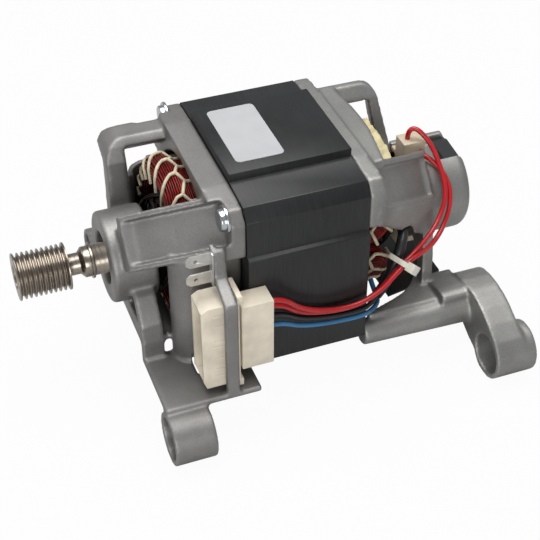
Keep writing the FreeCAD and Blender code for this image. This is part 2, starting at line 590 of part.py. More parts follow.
def stator_core():
    """Stack of stator sheets with a bore, two poles and two coil slots."""
    body = new_body("stator_core")
    quarter = [("crown_half_width", "crown_height"), ("crown_half_width", "shoulder_height"),
               ("corner_half_width", "corner_height"), ("side_half_width", "chamfer_low"),
               ("side_half_width", "ledge_height")]
    wide = "(side_half_width + ledge_depth)"
    lower = [(wide, "ledge_height - 1"), (wide, "-lower_side_end"),
             ("corner_half_width", "-corner_height"), ("crown_half_width", "-shoulder_height"),
             ("crown_half_width", "-crown_height")]
    right = quarter + lower
    left = [(f"-{y}", z) for y, z in reversed(right)]
    outline = add_sketch(body, "stator_outline", "YZ_Plane", "stack_start", [right + left],
                         [("0", "0", BORE_TEXT)])
    add_pad(body, "stator_pad", outline, "stack_length")
    holes = [(y, z, "bolt_radius + bolt_hole_clearance")
             for y in ("bolt_half_spacing", "-bolt_half_spacing")
             for z in ("bolt_height", "-bolt_height")]
    drilled = add_sketch(body, "stator_holes", "YZ_Plane", "stack_start", (), holes)
    add_pocket(body, "stator_drill", drilled, "stack_length")
    for side in ("", "-"):
        inner, outer = f"({BORE_TEXT} + pole_tip)", "slot_outer_radius"
        corners = []
        inner_shares = (-0.95, -0.6, -0.3, 0, 0.3, 0.6, 0.95)
        outer_shares = (1, 0.75, 0.5, 0.25, 0, -0.25, -0.5, -0.75, -1)
        for radius, shares in ((inner, inner_shares), (outer, outer_shares)):
            corners += [(f"{side}{radius} * cos(slot_half_angle * ({share}))",
                         f"{radius} * sin(slot_half_angle * ({share}))") for share in shares]
        slot = add_sketch(body, "stator_slot", "YZ_Plane", "stack_start", [corners])
        add_pocket(body, "stator_slot_cut", slot, "stack_length")
        mouth_z = f"{BORE_TEXT} * 0.32"
        inside, outside = f"{side}{BORE_TEXT} * 0.9", f"{side}({BORE_TEXT} + 3)"
        mouth = [(inside, f"-{mouth_z}"), (outside, f"-{mouth_z}"), (outside, mouth_z), (inside, mouth_z)]
        opening = add_sketch(body, "stator_mouth", "YZ_Plane", "stack_start", [mouth])
        add_pocket(body, "stator_mouth_cut", opening, "stack_length")
    return body


def arc_band(inner, outer, first, last):
    """Face across the shaft, between two radii and two angles in degrees from +Y towards +Z."""
    def at(radius, angle):
        turn = math.radians(angle)
        return Vector(0, radius * math.cos(turn), radius * math.sin(turn))
    middle = (first + last) / 2
    edges = [Part.LineSegment(at(inner, first), at(outer, first)).toShape(),
             Part.Arc(at(outer, first), at(outer, middle), at(outer, last)).toShape(),
             Part.LineSegment(at(outer, last), at(inner, last)).toShape(),
             Part.Arc(at(inner, last), at(inner, middle), at(inner, first)).toShape()]
    return Part.Face(Part.Wire(edges))


def band(inner, outer, first, last, start, end):
    """Solid of such a face along the shaft."""
    face = arc_band(inner, outer, first, last)
    face.translate(Vector(start, 0, 0))
    return face.extrude(Vector(end - start, 0, 0))


def least_distance(points, apart):
    """Least distance between points of a path that lie further apart than this along it."""
    cell = 3.0
    grid = {}
    rows = []
    travelled = 0
    for index, point in enumerate(points):
        if index:
            travelled += point.distanceToPoint(points[index - 1])
        key = tuple(int(number // cell) for number in point)
        grid.setdefault(key, []).append((point, travelled))
        rows.append((point, travelled, key))
    steps = [(a, b, c) for a in (-1, 0, 1) for b in (-1, 0, 1) for c in (-1, 0, 1)]
    near = [point.distanceToPoint(other) for point, way, key in rows for step in steps
            for other, other_way in grid.get(tuple(map(sum, zip(key, step))), ())
            if abs(way - other_way) > apart]
    return min(near)


def shift_arcs(first, last):
    """Two equal arcs that move a run sideways and leave it along the shaft at both ends."""
    sideways = Vector(0, last.y - first.y, last.z - first.z)
    run = last.x - first.x
    radius = (run * run + sideways.Length ** 2) / (4 * sideways.Length)
    half_turn = math.asin(abs(run) / 2 / radius) / 2
    along = Vector(math.copysign(radius * math.sin(half_turn), run), 0, 0)
    across = sideways.normalize() * radius * (1 - math.cos(half_turn))
    middle = (first + last) * 0.5
    return [Part.Arc(first, first + along + across, middle), Part.Arc(middle, last - along - across, last)]


def coil_path():
    """Edges of the outer layer of a saddle coil, spiralling out turn by turn."""
    wire_radius = mm.coil_wire / 2
    bend = mm.coil_corner
    radius = coil_radius - wire_radius
    turns = int(mm.coil_turns)

    def run_point(x, turn):
        angle = math.radians(mm.coil_pole_angle) - (wire_radius + turn * mm.coil_pitch) / radius
        reach = math.hypot(radius, bend)
        return Vector(x, reach * math.cos(angle), reach * math.sin(angle))

    def end_arcs(turn, x, inward, flip):
        """Corner, arch and corner of one coil end, from the side that flip names."""
        run = run_point(x, turn)
        angle = math.atan2(run.z, run.y) + math.atan2(bend, radius)
        start = Vector(x, radius * math.cos(angle), radius * math.sin(angle))
        rise = Vector(0, -math.sin(angle), math.cos(angle))
        centre = start + Vector(inward * bend, 0, 0)
        foot = centre - rise * bend
        knee = centre - (rise + Vector(inward, 0, 0)).normalize() * bend
        right = [foot, knee, start]
        left = [Vector(p.x, -p.y, p.z) for p in right]
        one, other = (left, right) if flip else (right, left)
        return [Part.Arc(*one), Part.Arc(one[2], Vector(x, 0, radius), other[2]),
                Part.Arc(*reversed(other))]

    # A turn moves over to the next one on its way back through the slot.
    shift_start, shift_end = stack_end - 2, mm.stack_start + 2
    curves = []
    here = run_point(shift_end - 1, 0)

    def straight(to):
        nonlocal here
        curves.append(Part.LineSegment(here, to))
        here = to

    def follow(arcs):
        nonlocal here
        curves.extend(arcs)
        here = arcs[-1].toShape().Vertexes[-1].Point

    for turn in range(turns):
        front_reach = mm.coil_front_gap + turn * mm.coil_front_pitch
        rear_reach = mm.coil_rear_gap + turn * mm.coil_rear_pitch
        front = end_arcs(turn, mm.stack_start - front_reach, 1, False)
        rear = end_arcs(turn, stack_end + rear_reach, -1, True)
        straight(front[0].toShape().Vertexes[0].Point)
        follow(front)
        straight(rear[0].toShape().Vertexes[0].Point)
        follow(rear)
        if turn < turns - 1:
            straight(Vector(shift_start, here.y, here.z))
            follow(shift_arcs(here, run_point(shift_end, turn + 1)))
    straight(Vector(shift_start + 1, here.y, here.z))
    return [curve.toShape() for curve in curves]


def field_coil():
    """Outer turns of a saddle coil round one pole, as a single unbroken tube."""
    edges = coil_path()
    points = []
    for edge in edges:
        points += edge.discretize(max(2, int(edge.Length / 0.35)))[:-1]
    gap = least_distance(points, 12) - mm.coil_wire
    print(f"field coil: {len(edges)} edges, least gap to itself {gap:.2f} mm")
    start = edges[0].Vertexes[0].Point
    section = Part.Wire(Part.Circle(start, X_AXIS, mm.coil_wire / 2).toShape())
    return Part.Wire(edges).makePipeShell([section], True, False)


def field_coil_core():
    """Body of a saddle coil under its outer turns, on the upper pole."""
    outer = coil_radius - mm.coil_wire - mm.coil_core_gap
    pole = mm.coil_pole_angle
    width = math.degrees((mm.coil_turns - 1) * mm.coil_pitch / outer)
    start, end = coil_front + mm.coil_wire / 2, coil_rear - mm.coil_wire / 2
    whole = band(coil_inner, outer, pole - width, 180 - pole + width, start, end)
    window = band(coil_inner - 1, outer + 1, pole, 180 - pole, mm.stack_start - mm.coil_front_gap,
                  stack_end + mm.coil_rear_gap)
    return whole.cut(window)


def cord(name, points, radius):
    """Tube along straight runs joined by the largest arcs that they allow."""
    places = [Vector(*point) for point in points]
    edges = []
    radii = []
    here = places[0]
    for before, corner, after in zip(places, places[1:], places[2:]):
        first, last = before - corner, after - corner
        shorter = min(first.Length, last.Length)
        first.normalize()
        last.normalize()
        half_turn = (math.pi - first.getAngle(last)) / 2
        reach = 0.45 * shorter
        arc_radius = reach / math.tan(half_turn)
        radii.append(arc_radius)
        start, end = corner + first * reach, corner + last * reach
        towards = (first + last).normalize()
        middle = corner + towards * (arc_radius / math.cos(half_turn) - arc_radius)
        edges += [Part.LineSegment(here, start).toShape(), Part.Arc(start, middle, end).toShape()]
        here = end
    edges.append(Part.LineSegment(here, places[-1]).toShape())
    path = Part.Wire(edges)
    section = Part.Wire(Part.Circle(places[0], places[1] - places[0], radius).toShape())
    tube = path.makePipeShell([section], True, False)
    expected = math.pi * radius ** 2 * path.Length
    print(f"{name}: {path.Length:.0f} mm long, tightest bend {min(radii):.1f} mm,"
          f" volume {tube.Volume / expected:.3f} of section times length")
    return tube


RED_INNER_ROUTE = ((105, -59, -2), (110.5, -59, -2), (120, -57.2, -11.4), (131, -56.4, -15.8),
                   (142, -56.2, -17.6), (153, -56.2, -16.8), (163, -54.6, -13), (170, -52.2, -8.3),
                   (176.5, -50, -4.3), (184, -46.4, -2.5), (192, -41, -1.6), (200, -35.4, 0.4),
                   (206.2, -30.5, 5.9), (209.4, -27.2, 11.4), (210.6, -22, 18), (210.2, -15.6, 24.4),
                   (209.2, -9.8, 29.8), (206.8, -5.4, 34.2), (203.2, -1.4, 37.6), (200, 0, 35.6),
                   (200, 0, 31.0))
RED_OUTER_ROUTE = ((105, -61.5, 3.5), (110.5, -61.5, 3.5), (120, -59.9, -7), (131, -58.9, -12.6),
                   (142, -58.7, -14.8), (153, -58.5, -14.2), (163, -57.1, -10.4), (170, -54.9, -5.8),
                   (176.5, -52.6, -2.2), (184, -49.6, -1.5), (191, -45.2, -3.4), (198.5, -39.4, -4.6),
                   (205.5, -33.8, -2.4), (210.6, -29.6, 3.8), (213, -25.6, 10.8),
                   (213.2, -20.4, 16.6), (210.8, -14.8, 21.2), (207, -10.4, 24.6), (205.4, -8.4, 25.2),
                   (205.4, -4.9, 25.2))
BLUE_ROUTE = ((105, -59.5, -13), (110.5, -59.5, -13), (121, -57.2, -20.2), (132, -56.4, -23.3),
              (142, -56.2, -24.4), (150, -56.2, -24.8), (157.5, -55.2, -25.1), (163.5, -50.8, -26),
              (167.5, -44.5, -27.6), (168.5, -36.8, -27.7), (168.5, -32.8, -24.7))
BLACK_ROUTE = ((105, -58.5, -8), (110.5, -58.5, -8), (121, -56.6, -16.2), (132, -56, -19.6),
               (142, -56, -21), (150, -56, -21.3), (158, -55.4, -20.8), (163.2, -51.2, -18.7))
SLEEVE_ROUTE = ((163.4, -51, -18.6), (168.2, -48, -17.6), (172.4, -46.6, -11), (175, -46.2, -4),
                (177.6, -44.4, 1), (180.2, -41, 4.2), (182.4, -36.6, 5.2), (183, -32, 5))


def cable_tie():
    """Nylon tie round the two red wires and the sleeve, with its head."""
    across, up, width, wall = 13.3, 9.0, 2.6, 1.1
    outer = Part.makeBox(across, up, width, Vector(-across / 2, -up / 2, -width / 2))
    inner = Part.makeBox(across - 2 * wall, up - 2 * wall, width, Vector(wall - across / 2,
                                                                       wall - up / 2, -width / 2))

    def is_corner(edge):
        return abs(edge.tangentAt(edge.FirstParameter).z) > 0.99
    band_shape = rounded(outer, 3.4, is_corner).cut(rounded(inner, 2.3, is_corner))
    head = block(across / 2 - 0.6, across / 2 + 4, -2.4, 2.4, -2.3, 2.3)
    tie = band_shape.fuse(head)
    turn = FreeCAD.Rotation(Vector(0.308, -0.947, 0.088), Vector(0.697, 0.161, -0.699),
                            Vector(0.648, 0.276, 0.71), "ZXY")
    tie.Placement = FreeCAD.Placement(Vector(176.06, -48.5, -3.65), turn)
    return tie


def rear_guard():
    """Moulded sheet under the commutator that closes the bottom between the gussets."""
    half = mm.guard_half_width
    front, rear = coil_rear + mm.guard_gap, mm.rear_lug_start - 2.5
    near = [(front, -half), (mm.housing_start, 3 - half), (mm.housing_start + 7, 6 - half),
            (rear, 9 - half)]
    far = [(x, -y) for x, y in reversed(near)]
    return slab("Z", near + far, mm.gusset_bottom - mm.guard_thickness, mm.gusset_bottom)


def slot_liners():
    """Insulating sheet behind the coil sides in the two slots, as two solids."""
    outer = mm.slot_outer_radius - 0.3
    inner = outer - mm.liner_thickness
    reach = mm.slot_half_angle - 2
    right = band(inner, outer, -reach, reach, mm.stack_start, stack_end)
    return Part.makeCompound([right, right.mirror(ORIGIN, Y_AXIS)])


def through_bolts():
    """Four flange-head bolts that clamp the stack between the brackets."""
    bolts = []
    for y, z in bolt_places():
        seat = mm.bolt_seat
        shank = rod(y, z, mm.bolt_radius - 0.05, seat, stack_end + mm.bolt_engagement)
        flange = rod(y, z, mm.bolt_head_radius, seat - 1.4, seat)
        head = rod(y, z, mm.bolt_head_radius - 1.4, seat - mm.bolt_head_height, seat - 1.4)
        head = rounded(head, 0.8, circle_at(seat - mm.bolt_head_height, mm.bolt_head_radius - 1.4))
        bolts.append(joined([shank, flange, head]))
    return Part.makeCompound(bolts)


def pulley():
    """Grooved belt pulley pressed on the shaft neck."""
    pitch = "(pulley_length - 2 * pulley_edge) / groove_count"
    points = [("0", "neck_radius + 0.6"), ("0", "pulley_flange_radius - 0.4"),
              ("pulley_edge * 0.5", "pulley_flange_radius"), ("pulley_edge", "pulley_flange_radius")]
    for index in range(int(mm.groove_count)):
        start = f"pulley_edge + {index} * {pitch}"
        middle = f"pulley_edge + {index + 0.5} * {pitch}"
        end = f"pulley_edge + {index + 1} * {pitch}"
        points += [(f"{start} + rib_flat / 2", "rib_tip_radius"),
                   (f"{middle} - rib_flat / 2", "rib_valley_radius"),
                   (f"{middle} + rib_flat / 2", "rib_valley_radius"),
                   (f"{end} - rib_flat / 2", "rib_tip_radius")]
    points += [("pulley_length - pulley_edge", "pulley_flange_radius"),
               ("pulley_length", "pulley_flange_radius"), ("pulley_length", "neck_radius"),
               ("shaft_recess", "neck_radius"), ("shaft_recess", "neck_radius + 0.6")]
    return turned("pulley", points)


def shaft():
    """Steel shaft with a neck for the pulley and two bearing journals."""
    groove_end = "ring_groove_start + ring_groove_width"
    groove_radius = "journal_radius - ring_groove_depth"
    front_step = "front_bearing_start + front_bearing_width"
    rear_step = "rear_bearing_start"
    rear_end = "rear_bearing_start + rear_bearing_width + 5"
    points = [("shaft_recess", "0"), ("shaft_recess", "neck_radius - 0.5"),
              ("shaft_recess + 0.5", "neck_radius"), ("neck_end", "neck_radius"),
              ("neck_end + cone_length", "journal_radius"), ("ring_groove_start", "journal_radius"),
              ("ring_groove_start", groove_radius), (groove_end, groove_radius),
              (groove_end, "journal_radius"), (front_step, "journal_radius"),
              (front_step, "trunk_radius"), (rear_step, "trunk_radius"),
              (rear_step, "rear_journal_radius"), (rear_end, "rear_journal_radius"), (rear_end, "0")]
    return turned("shaft", points)


def armature_core():
    """Slotted armature stack on the shaft."""
    body = new_body("armature_core")
    face = add_sketch(body, "armature_outline", "YZ_Plane", "stack_start", (),
                      [("0", "0", "armature_radius"), ("0", "0", "trunk_radius")])
    add_pad(body, "armature_pad", face, "stack_length")
    slot = [("-1.1", "armature_radius + 1"), ("1.1", "armature_radius + 1"),
            ("1.1", "armature_radius - 2.0"), ("4.2", "armature_radius - 4.2"),
            ("2.2", "armature_radius - 12.5"), ("-2.2", "armature_radius - 12.5"),
            ("-4.2", "armature_radius - 4.2"), ("-1.1", "armature_radius - 2.0")]
    cut = add_sketch(body, "armature_slot", "YZ_Plane", "stack_start", [slot])
    pocket = add_pocket(body, "armature_slot_cut", cut, "stack_length")
    doc.recompute()
    pattern = body.newObject("PartDesign::PolarPattern", "armature_slots_round")
    pattern.Originals = [pocket]
    pattern.Axis = (face, ["N_Axis"])
    pattern.Angle = 360
    pattern.setExpression("Occurrences", bound("armature_slots"))
    body.Tip = pattern
    return body


def armature_slot_bars():
    """Winding sides that fill the armature slots, one solid for each slot."""
    bars = []
    outer = mm.armature_radius
    section = [(-0.9, outer - 0.6), (0.9, outer - 0.6), (0.9, outer - 2.2), (3.8, outer - 4.4),
               (1.9, outer - 12.2), (-1.9, outer - 12.2), (-3.8, outer - 4.4), (-0.9, outer - 2.2)]
    count = int(mm.armature_slots)
    for index in range(count):
        bar = slab("X", section, mm.stack_start - 0.1, stack_end + 0.1)
        bar.rotate(ORIGIN, X_AXIS, 360 / count * index)
        bars.append(bar)
    return Part.makeCompound(bars)


def armature_winding(label, wide_end, far_end):
    """End winding of the armature, domed towards the shaft."""
    inner = "trunk_radius + 0.5"
    side = "+" if value(far_end) > value(wide_end) else "-"
    points = [(wide_end, inner), (wide_end, f"{WINDING_TEXT} - 1.5"),
              (f"{wide_end} {side} 4", WINDING_TEXT),
              (f"{far_end} + ({wide_end} - ({far_end})) * 0.35", WINDING_TEXT),
              (f"{far_end} + ({wide_end} - ({far_end})) * 0.1", f"{WINDING_TEXT} - 3.5"),
              (far_end, f"{WINDING_TEXT} - 9"), (far_end, inner)]
    return turned(label, points)


def commutator_bars():
    """Copper bars of the commutator and the hooks on them, one solid for each."""
    count = int(mm.commutator_bars)
    pitch = 360 / count
    bars, hooks = [], []
    for index in range(count):
        first = index * pitch + 0.9
        last = (index + 1) * pitch - 0.9
        end = mm.commutator_start + mm.commutator_length
        bars.append(band(mm.commutator_radius - mm.bar_depth, mm.commutator_radius, first, last,
                         mm.commutator_start, end))
        hooks.append(band(mm.commutator_radius, mm.commutator_radius + mm.hook_height, first + 3,
                          last - 3, mm.commutator_start, mm.commutator_start + mm.hook_length))
    shaped("commutator_bars", Part.makeCompound(bars))
    shaped("commutator_hooks", Part.makeCompound(hooks))


def bearing(name, start, width, outer, bore):
    """Outer ring, inner ring, ball set and two seals of one ball bearing."""
    low = f"({bore} + ({outer} - {bore}) * 0.28)"
    high = f"({bore} + ({outer} - {bore}) * 0.72)"
    ring(f"{name}_bearing_outer_ring", start, width, high, outer)
    ring(f"{name}_bearing_inner_ring", start, width, bore, low)
    middle = (value(bore) + value(outer)) / 2
    radius = (value(high) - value(low)) / 2 - 0.15
    centre_x = value(start) + value(width) / 2
    balls = []
    count = int(mm.ball_count)
    for index in range(count):
        turn = 2 * math.pi * index / count
        centre = Vector(centre_x, middle * math.cos(turn), middle * math.sin(turn))
        balls.append(Part.makeSphere(radius, centre))
    cage = rod(0, 0, middle + 0.5, centre_x - 1.2, centre_x + 1.2)
    cage = cage.cut(rod(0, 0, middle - 0.5, centre_x - 2, centre_x + 2))
    shaped(f"{name}_bearing_balls", joined([cage] + balls))
    for side, edge in (("front", f"{start} + 0.3"), ("back", f"{start} + {width} - 1.1")):
        ring(f"{name}_bearing_{side}_seal", edge, "0.8", f"{low} + 0.3", high)


def connector():
    """Plug housing with its open face, rear shell and contacts."""
    near, far = -mm.connector_near, -mm.connector_far
    wall = mm.connector_wall
    front, split, rear = mm.connector_front, mm.connector_split, mm.connector_rear
    low, high = mm.connector_bottom, mm.connector_top
    outline = [(front + 1.5, low), (split, low), (split, high), (front + 3, high), (front, high - 2),
               (front, low + 4)]
    shell = slab("Y", outline, near, far)
    mouth = block(front - 1, split - 4, near + wall, far - wall, low + wall + 1.5, high - wall - 1.5)
    ribs = [block(front + 5, split - 4, near - 0.5, near + 0.1, level, level + 1.2)
            for level in (low + 6, low + 10, low + 17, low + 24, low + 27, low + 36, low + 42)]
    ears = [block(split - 1, split + 1.5, near, far, low - 3, low + 1),
            block(split - 1, split + 1.5, near, far, high - 1, high + 3)]
    housing = joined([shell] + ribs + ears).cut(mouth)
    strap_room = block(mm.strap_start - 0.2, mm.strap_start + mm.strap_width + 0.2,
                       -mm.plate_outer - 1, -mm.plate_outer + mm.strap_thickness + 0.15, -60, 60)
    shaped("connector_housing", housing.cut(strap_room))
    stack_side = -(mm.side_half_width + mm.ledge_depth)
    back = block(split + 1.5, rear, near + 1.5, stack_side - 0.4, low + 5, high - 5)
    cavities = [block(rear - 5, rear + 1, near + 5, near + 9, low + 9 + 6 * step, low + 12 + 6 * step)
                for step in range(int(mm.contact_count) - 1)]
    shaped("connector_rear_shell", back.cut(cavities))
    pitch = (high - low - 12) / mm.contact_count
    blades = []
    for step in range(int(mm.contact_count)):
        level = low + 6 + pitch * (step + 0.5)
        blades.append(block(front + 2.5, split - 4, near + 5.5, near + 6.3, level - 2, level + 2))
    shaped("connector_contacts", Part.makeCompound(blades))


def earth_terminal():
    """Double flat terminal beside the strap, with a fixing tab."""
    strap, side = mm.strap_start, -mm.earth_tab_side
    tip = strap - mm.earth_tab_reach
    base = block(strap - 0.8, strap, side - 1.5, side + 2.5, 15.5, 33.5)
    tabs = []
    for level in (30.6, 20.4):
        low, high = level - 3.15, level + 3.15
        tab = slab("Y", [(strap, low), (tip + 2, low), (tip, low + 1.65), (tip, high - 1.65),
                         (tip + 2, high), (strap, high)], side, side + 0.8)
        hole = Part.makeCylinder(0.9, 4, Vector(tip + 4.5, side - 2, level), Y_AXIS)
        tabs.append(tab.cut(hole))
    return joined([base] + tabs)


def brush_set(name, level):
    """Brush, holder and spring cap of one side."""
    half_width = mm.brush_width / 2
    start, end = mm.brush_start, mm.brush_start + mm.brush_length
    low = mm.commutator_radius + mm.brush_gap
    gap, wall = mm.running_gap, mm.holder_wall
    face = rod(0, 0, low, start - 1, end + 1)
    carbon = block(start, end, -half_width, half_width, low - 1, low + mm.brush_height).cut(face)
    outer = block(start - gap - wall, end + gap + wall, -half_width - gap - wall,
                  half_width + gap + wall, low + 0.9, mm.holder_end)
    room = block(start - gap, end + gap, -half_width - gap, half_width + gap, low, mm.holder_end - wall)
    feet = block(start - gap - wall, end + gap + wall, -mm.housing_slot_half_width + 0.1,
                 mm.housing_slot_half_width - 0.1, mm.housing_slot_floor + 1.4,
                 mm.housing_slot_floor + 3.4)
    holder = joined([outer, feet]).cut([room, face])
    coil_low = low + mm.brush_height + gap
    spring = Part.makeCylinder(2.4, mm.holder_end - wall - 0.1 - coil_low,
                               Vector((start + end) / 2, 0, coil_low))
    shapes = [carbon, holder, spring]
    if level < 0:
        shapes = [shape.mirror(ORIGIN, Vector(0, 0, 1)) for shape in shapes]
    shaped(f"brush_{name}", shapes[0])
    shaped(f"brush_holder_{name}", shapes[1])
    shaped(f"brush_spring_{name}", shapes[2])


def tacho():
    """Speed sensor behind the rear bearing: magnet on the shaft, coil ring and cover."""
    rear = mm.rear_bearing_start + mm.rear_bearing_width
    ring("tacho_magnet", "rear_bearing_start + rear_bearing_width + 0.8", "3.6",
         "rear_journal_radius", "rear_journal_radius + 3")
    ring("tacho_coil", "rear_bearing_start + rear_bearing_width + 0.4", "4.6",
         "rear_journal_radius + 3.8", "tacho_chamber_radius - 0.1")
    half, floor = mm.housing_slot_half_width - 0.2, mm.housing_slot_floor + 0.1
    cover = slab("X", [(-half, floor), (half, floor), (half, floor + 2), (4, floor + 4),
                       (-half, floor + 2.5)], rear - 2, rear + 6)
    shaped("tacho_cover", cover)


shaped("front_bracket", front_bracket())
shaped("rear_bracket", rear_bracket())
stator_core()
for name, upper in (("field_coil", field_coil()), ("field_coil_core", field_coil_core())):
    lower = upper.copy()
    lower.rotate(ORIGIN, X_AXIS, 180)
    shaped(name + "_upper", upper)
    shaped(name + "_lower", lower)
sheet_radius = coil_radius + 0.7
shaped("rear_coil_insulation", band(sheet_radius, sheet_radius + mm.sheet_thickness, mm.sheet_far_edge,
                                    mm.sheet_near_edge, stack_end + 0.5, coil_rear + 1.0))
shaped("rear_guard", rear_guard())
shaped("slot_liners", slot_liners())
shaped("through_bolts", through_bolts())
label_top = mm.crown_height
label = block(mm.label_start, mm.label_start + mm.label_length, mm.label_offset - mm.label_width / 2,
              mm.label_offset + mm.label_width / 2, label_top, label_top + mm.label_thickness)
label = rounded(label, 2.5, lambda edge: abs(edge.tangentAt(edge.FirstParameter).z) > 0.99)
shaped("label_plate", label)
pulley()
shaft()
ring("shaft_ring", "ring_groove_start", "ring_groove_width", "journal_radius - ring_groove_depth",
     "journal_radius + ring_height")
armature_core()
shaped("armature_slot_bars", armature_slot_bars())
armature_winding("armature_winding_front", "stack_start - 0.2", "armature_front_winding")
armature_winding("armature_winding_rear", "stack_start + stack_length + 0.2", "armature_rear_winding")
ring("commutator_hub", "commutator_start", "commutator_length", "trunk_radius",
     "commutator_radius - bar_depth")
commutator_bars()
bearing("front", "front_bearing_start", "front_bearing_width", "front_bearing_radius",
        "journal_radius")
bearing("rear", "rear_bearing_start", "rear_bearing_width", "rear_bearing_radius",
        "rear_journal_radius")
connector()
shaped("earth_terminal", earth_terminal())
brush_set("upper", 1)
brush_set("lower", -1)
tacho()
shaped("red_wire_inner", cord("inner red wire", RED_INNER_ROUTE, mm.wire_radius))
shaped("red_wire_outer", cord("outer red wire", RED_OUTER_ROUTE, mm.wire_radius))
shaped("blue_wire", cord("blue wire", BLUE_ROUTE, mm.wire_radius))
shaped("black_wire", cord("black wire", BLACK_ROUTE, mm.wire_radius))
shaped("lead_sleeve", cord("lead sleeve", SLEEVE_ROUTE, mm.sleeve_radius))
shaped("cable_tie", cable_tie())

doc.recompute()
failed = [item.Label for item in doc.Objects if {"Invalid", "Error"} & set(item.State)]
for piece in pieces:
    if piece.Shape.isNull() or not piece.Shape.isValid():
        failed.append(piece.Label)
if failed:
    raise RuntimeError("these pieces failed: " + ", ".join(failed))
for piece in pieces:
    piece.Shape.exportStep(f"parts/{piece.Label}.step")
whole = Part.makeCompound([piece.Shape for piece in pieces])
box = whole.BoundBox
print(f"{len(pieces)} pieces, box {box.XMin:.1f} {box.YMin:.1f} {box.ZMin:.1f}"
      f" to {box.XMax:.1f} {box.YMax:.1f} {box.ZMax:.1f}")
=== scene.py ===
"""Finished pieces of a washing machine motor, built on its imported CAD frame."""

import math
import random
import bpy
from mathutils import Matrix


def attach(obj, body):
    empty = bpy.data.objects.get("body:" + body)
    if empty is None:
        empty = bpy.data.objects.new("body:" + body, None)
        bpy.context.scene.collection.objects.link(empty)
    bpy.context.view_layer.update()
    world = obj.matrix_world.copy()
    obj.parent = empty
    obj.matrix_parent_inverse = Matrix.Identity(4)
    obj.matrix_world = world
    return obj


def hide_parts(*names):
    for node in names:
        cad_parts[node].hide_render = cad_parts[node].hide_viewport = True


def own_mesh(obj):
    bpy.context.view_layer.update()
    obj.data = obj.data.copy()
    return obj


bl_info = {
    "name": "Washing machine motor",
    "version": (1, 0, 0),
    "blender": (4, 5, 0),
    "location": "View3D > Sidebar > Motor",
    "description": "Builds the finished pieces of a universal brush motor on its CAD frame",
    "category": "Object",
}

import bmesh
import bpy
from bpy.props import FloatProperty, FloatVectorProperty, IntProperty, PointerProperty
from mathutils import Vector, noise

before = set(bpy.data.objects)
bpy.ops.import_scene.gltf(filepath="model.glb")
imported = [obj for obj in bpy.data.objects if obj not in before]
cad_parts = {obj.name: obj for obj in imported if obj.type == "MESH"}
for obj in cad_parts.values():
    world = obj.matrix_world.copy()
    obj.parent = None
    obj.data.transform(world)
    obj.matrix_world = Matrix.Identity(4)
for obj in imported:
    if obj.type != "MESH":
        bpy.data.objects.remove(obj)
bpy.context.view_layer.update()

# The motor is measured from its pulley's outer face and its shaft axis, in millimetres.
PULLEY_TO_MIDDLE = 118.25
AXIS_HEIGHT = 67.5
MM = 0.001

# Stator stack, and how far the field coil ends stand off it and reach, in millimetres. The pole
# angle, in degrees, is where a coil's outer turns lie above the parting plane.
STACK_START = 97.3
STACK_END = 157.1
FRONT_COIL_GAP = 4.55
FRONT_COIL_REACH = 27.0
REAR_COIL_GAP = 3.55
REAR_COIL_REACH = 19.2
COIL_OUTER = 40.2
COIL_INNER = 32.2
COIL_POLE_ANGLE = 32.0
COIL_SIDE_WIDTH = 18.5
COIL_CORNER = 4.5
COIL_INSET = 0.5
INNER_BEND, OUTER_BEND = 3, 12
SECTION_ROUNDING = 0.3

# The front coil end swells by this much between the upper arms, in front of the bracket's frame.
# The ramps give the millimetres and the degrees over which it fades.
SWELL = 3.9
SWELL_BEHIND = 84
SWELL_RAMP = 6
SWELL_FROM, SWELL_FROM_RAMP = 48, 14
SWELL_TO, SWELL_TO_RAMP = 118, 10

# The lacing covers this part of a coil end, from its first knot on, in degrees. A knot lies this
# far over the end from the corner, and the cord's middle this far above the wires, in millimetres.
LACING_SPAN = 171.6
LACING_START = 3.7
KNOT_DEPTH = 8.2
LACING_LIFT = 0.1

# The insulating sheet over the far rear coil end: its place along the shaft in millimetres, where
# it starts and how far it goes round in degrees, its loose part and its thickness
SHEET_START, SHEET_END = 157.6, 182.2
SHEET_FROM, SHEET_SPAN = 35, 90
SHEET_FREE_FROM, SHEET_FREE_LENGTH = 166, 16
SHEET_THICKNESS = 0.3

# Armature: its slots, its commutator bars, the wires that leave a slot at each end, and for each
# end winding its side, where it leaves the core, where it ends and the seed of its wires
ARMATURE_SLOTS = 12
COMMUTATOR_BARS = 24
END_WIRES = 14
ARMATURE_ENDS = (("front", 97.2, 65.2, 3), ("rear", 157.2, 185.8, 5))

# Brushes: their place along the shaft
BRUSH_X = 202

# Camera solved from the photo, in metres and degrees
CAMERA_PLACE = (-0.16635, -0.4694, 0.4497)
CAMERA_LENS = 84.8
CAMERA_SENSOR = 36
CAMERA_DOWN = 39.6
CAMERA_TURN = -20.5

# Half the floor's side in metres, so large that no view shows its edge, and the share of its tone
# that the camera sees as plain white
FLOOR_HALF = 6.0
FLOOR_GLOW = 0.96

# The world's light on the motor
WORLD_TONE = (0.97, 0.985, 1, 1)
WORLD_STRENGTH = 0.36

# Each lamp's name, place and size in metres, and power in watts, and the place that all aim at.
# The key is above, the fill low at the front left, and the rim behind for the edges.
LAMPS = (("key", (0.05, 0.1, 1.1), 0.9, 11.5),
         ("fill", (-0.45, -1.1, 0.2), 0.7, 7.0),
         ("rim", (-0.9, 0.5, 0.8), 0.5, 2.0))
LAMP_AIM = (0, 0, 0.06)

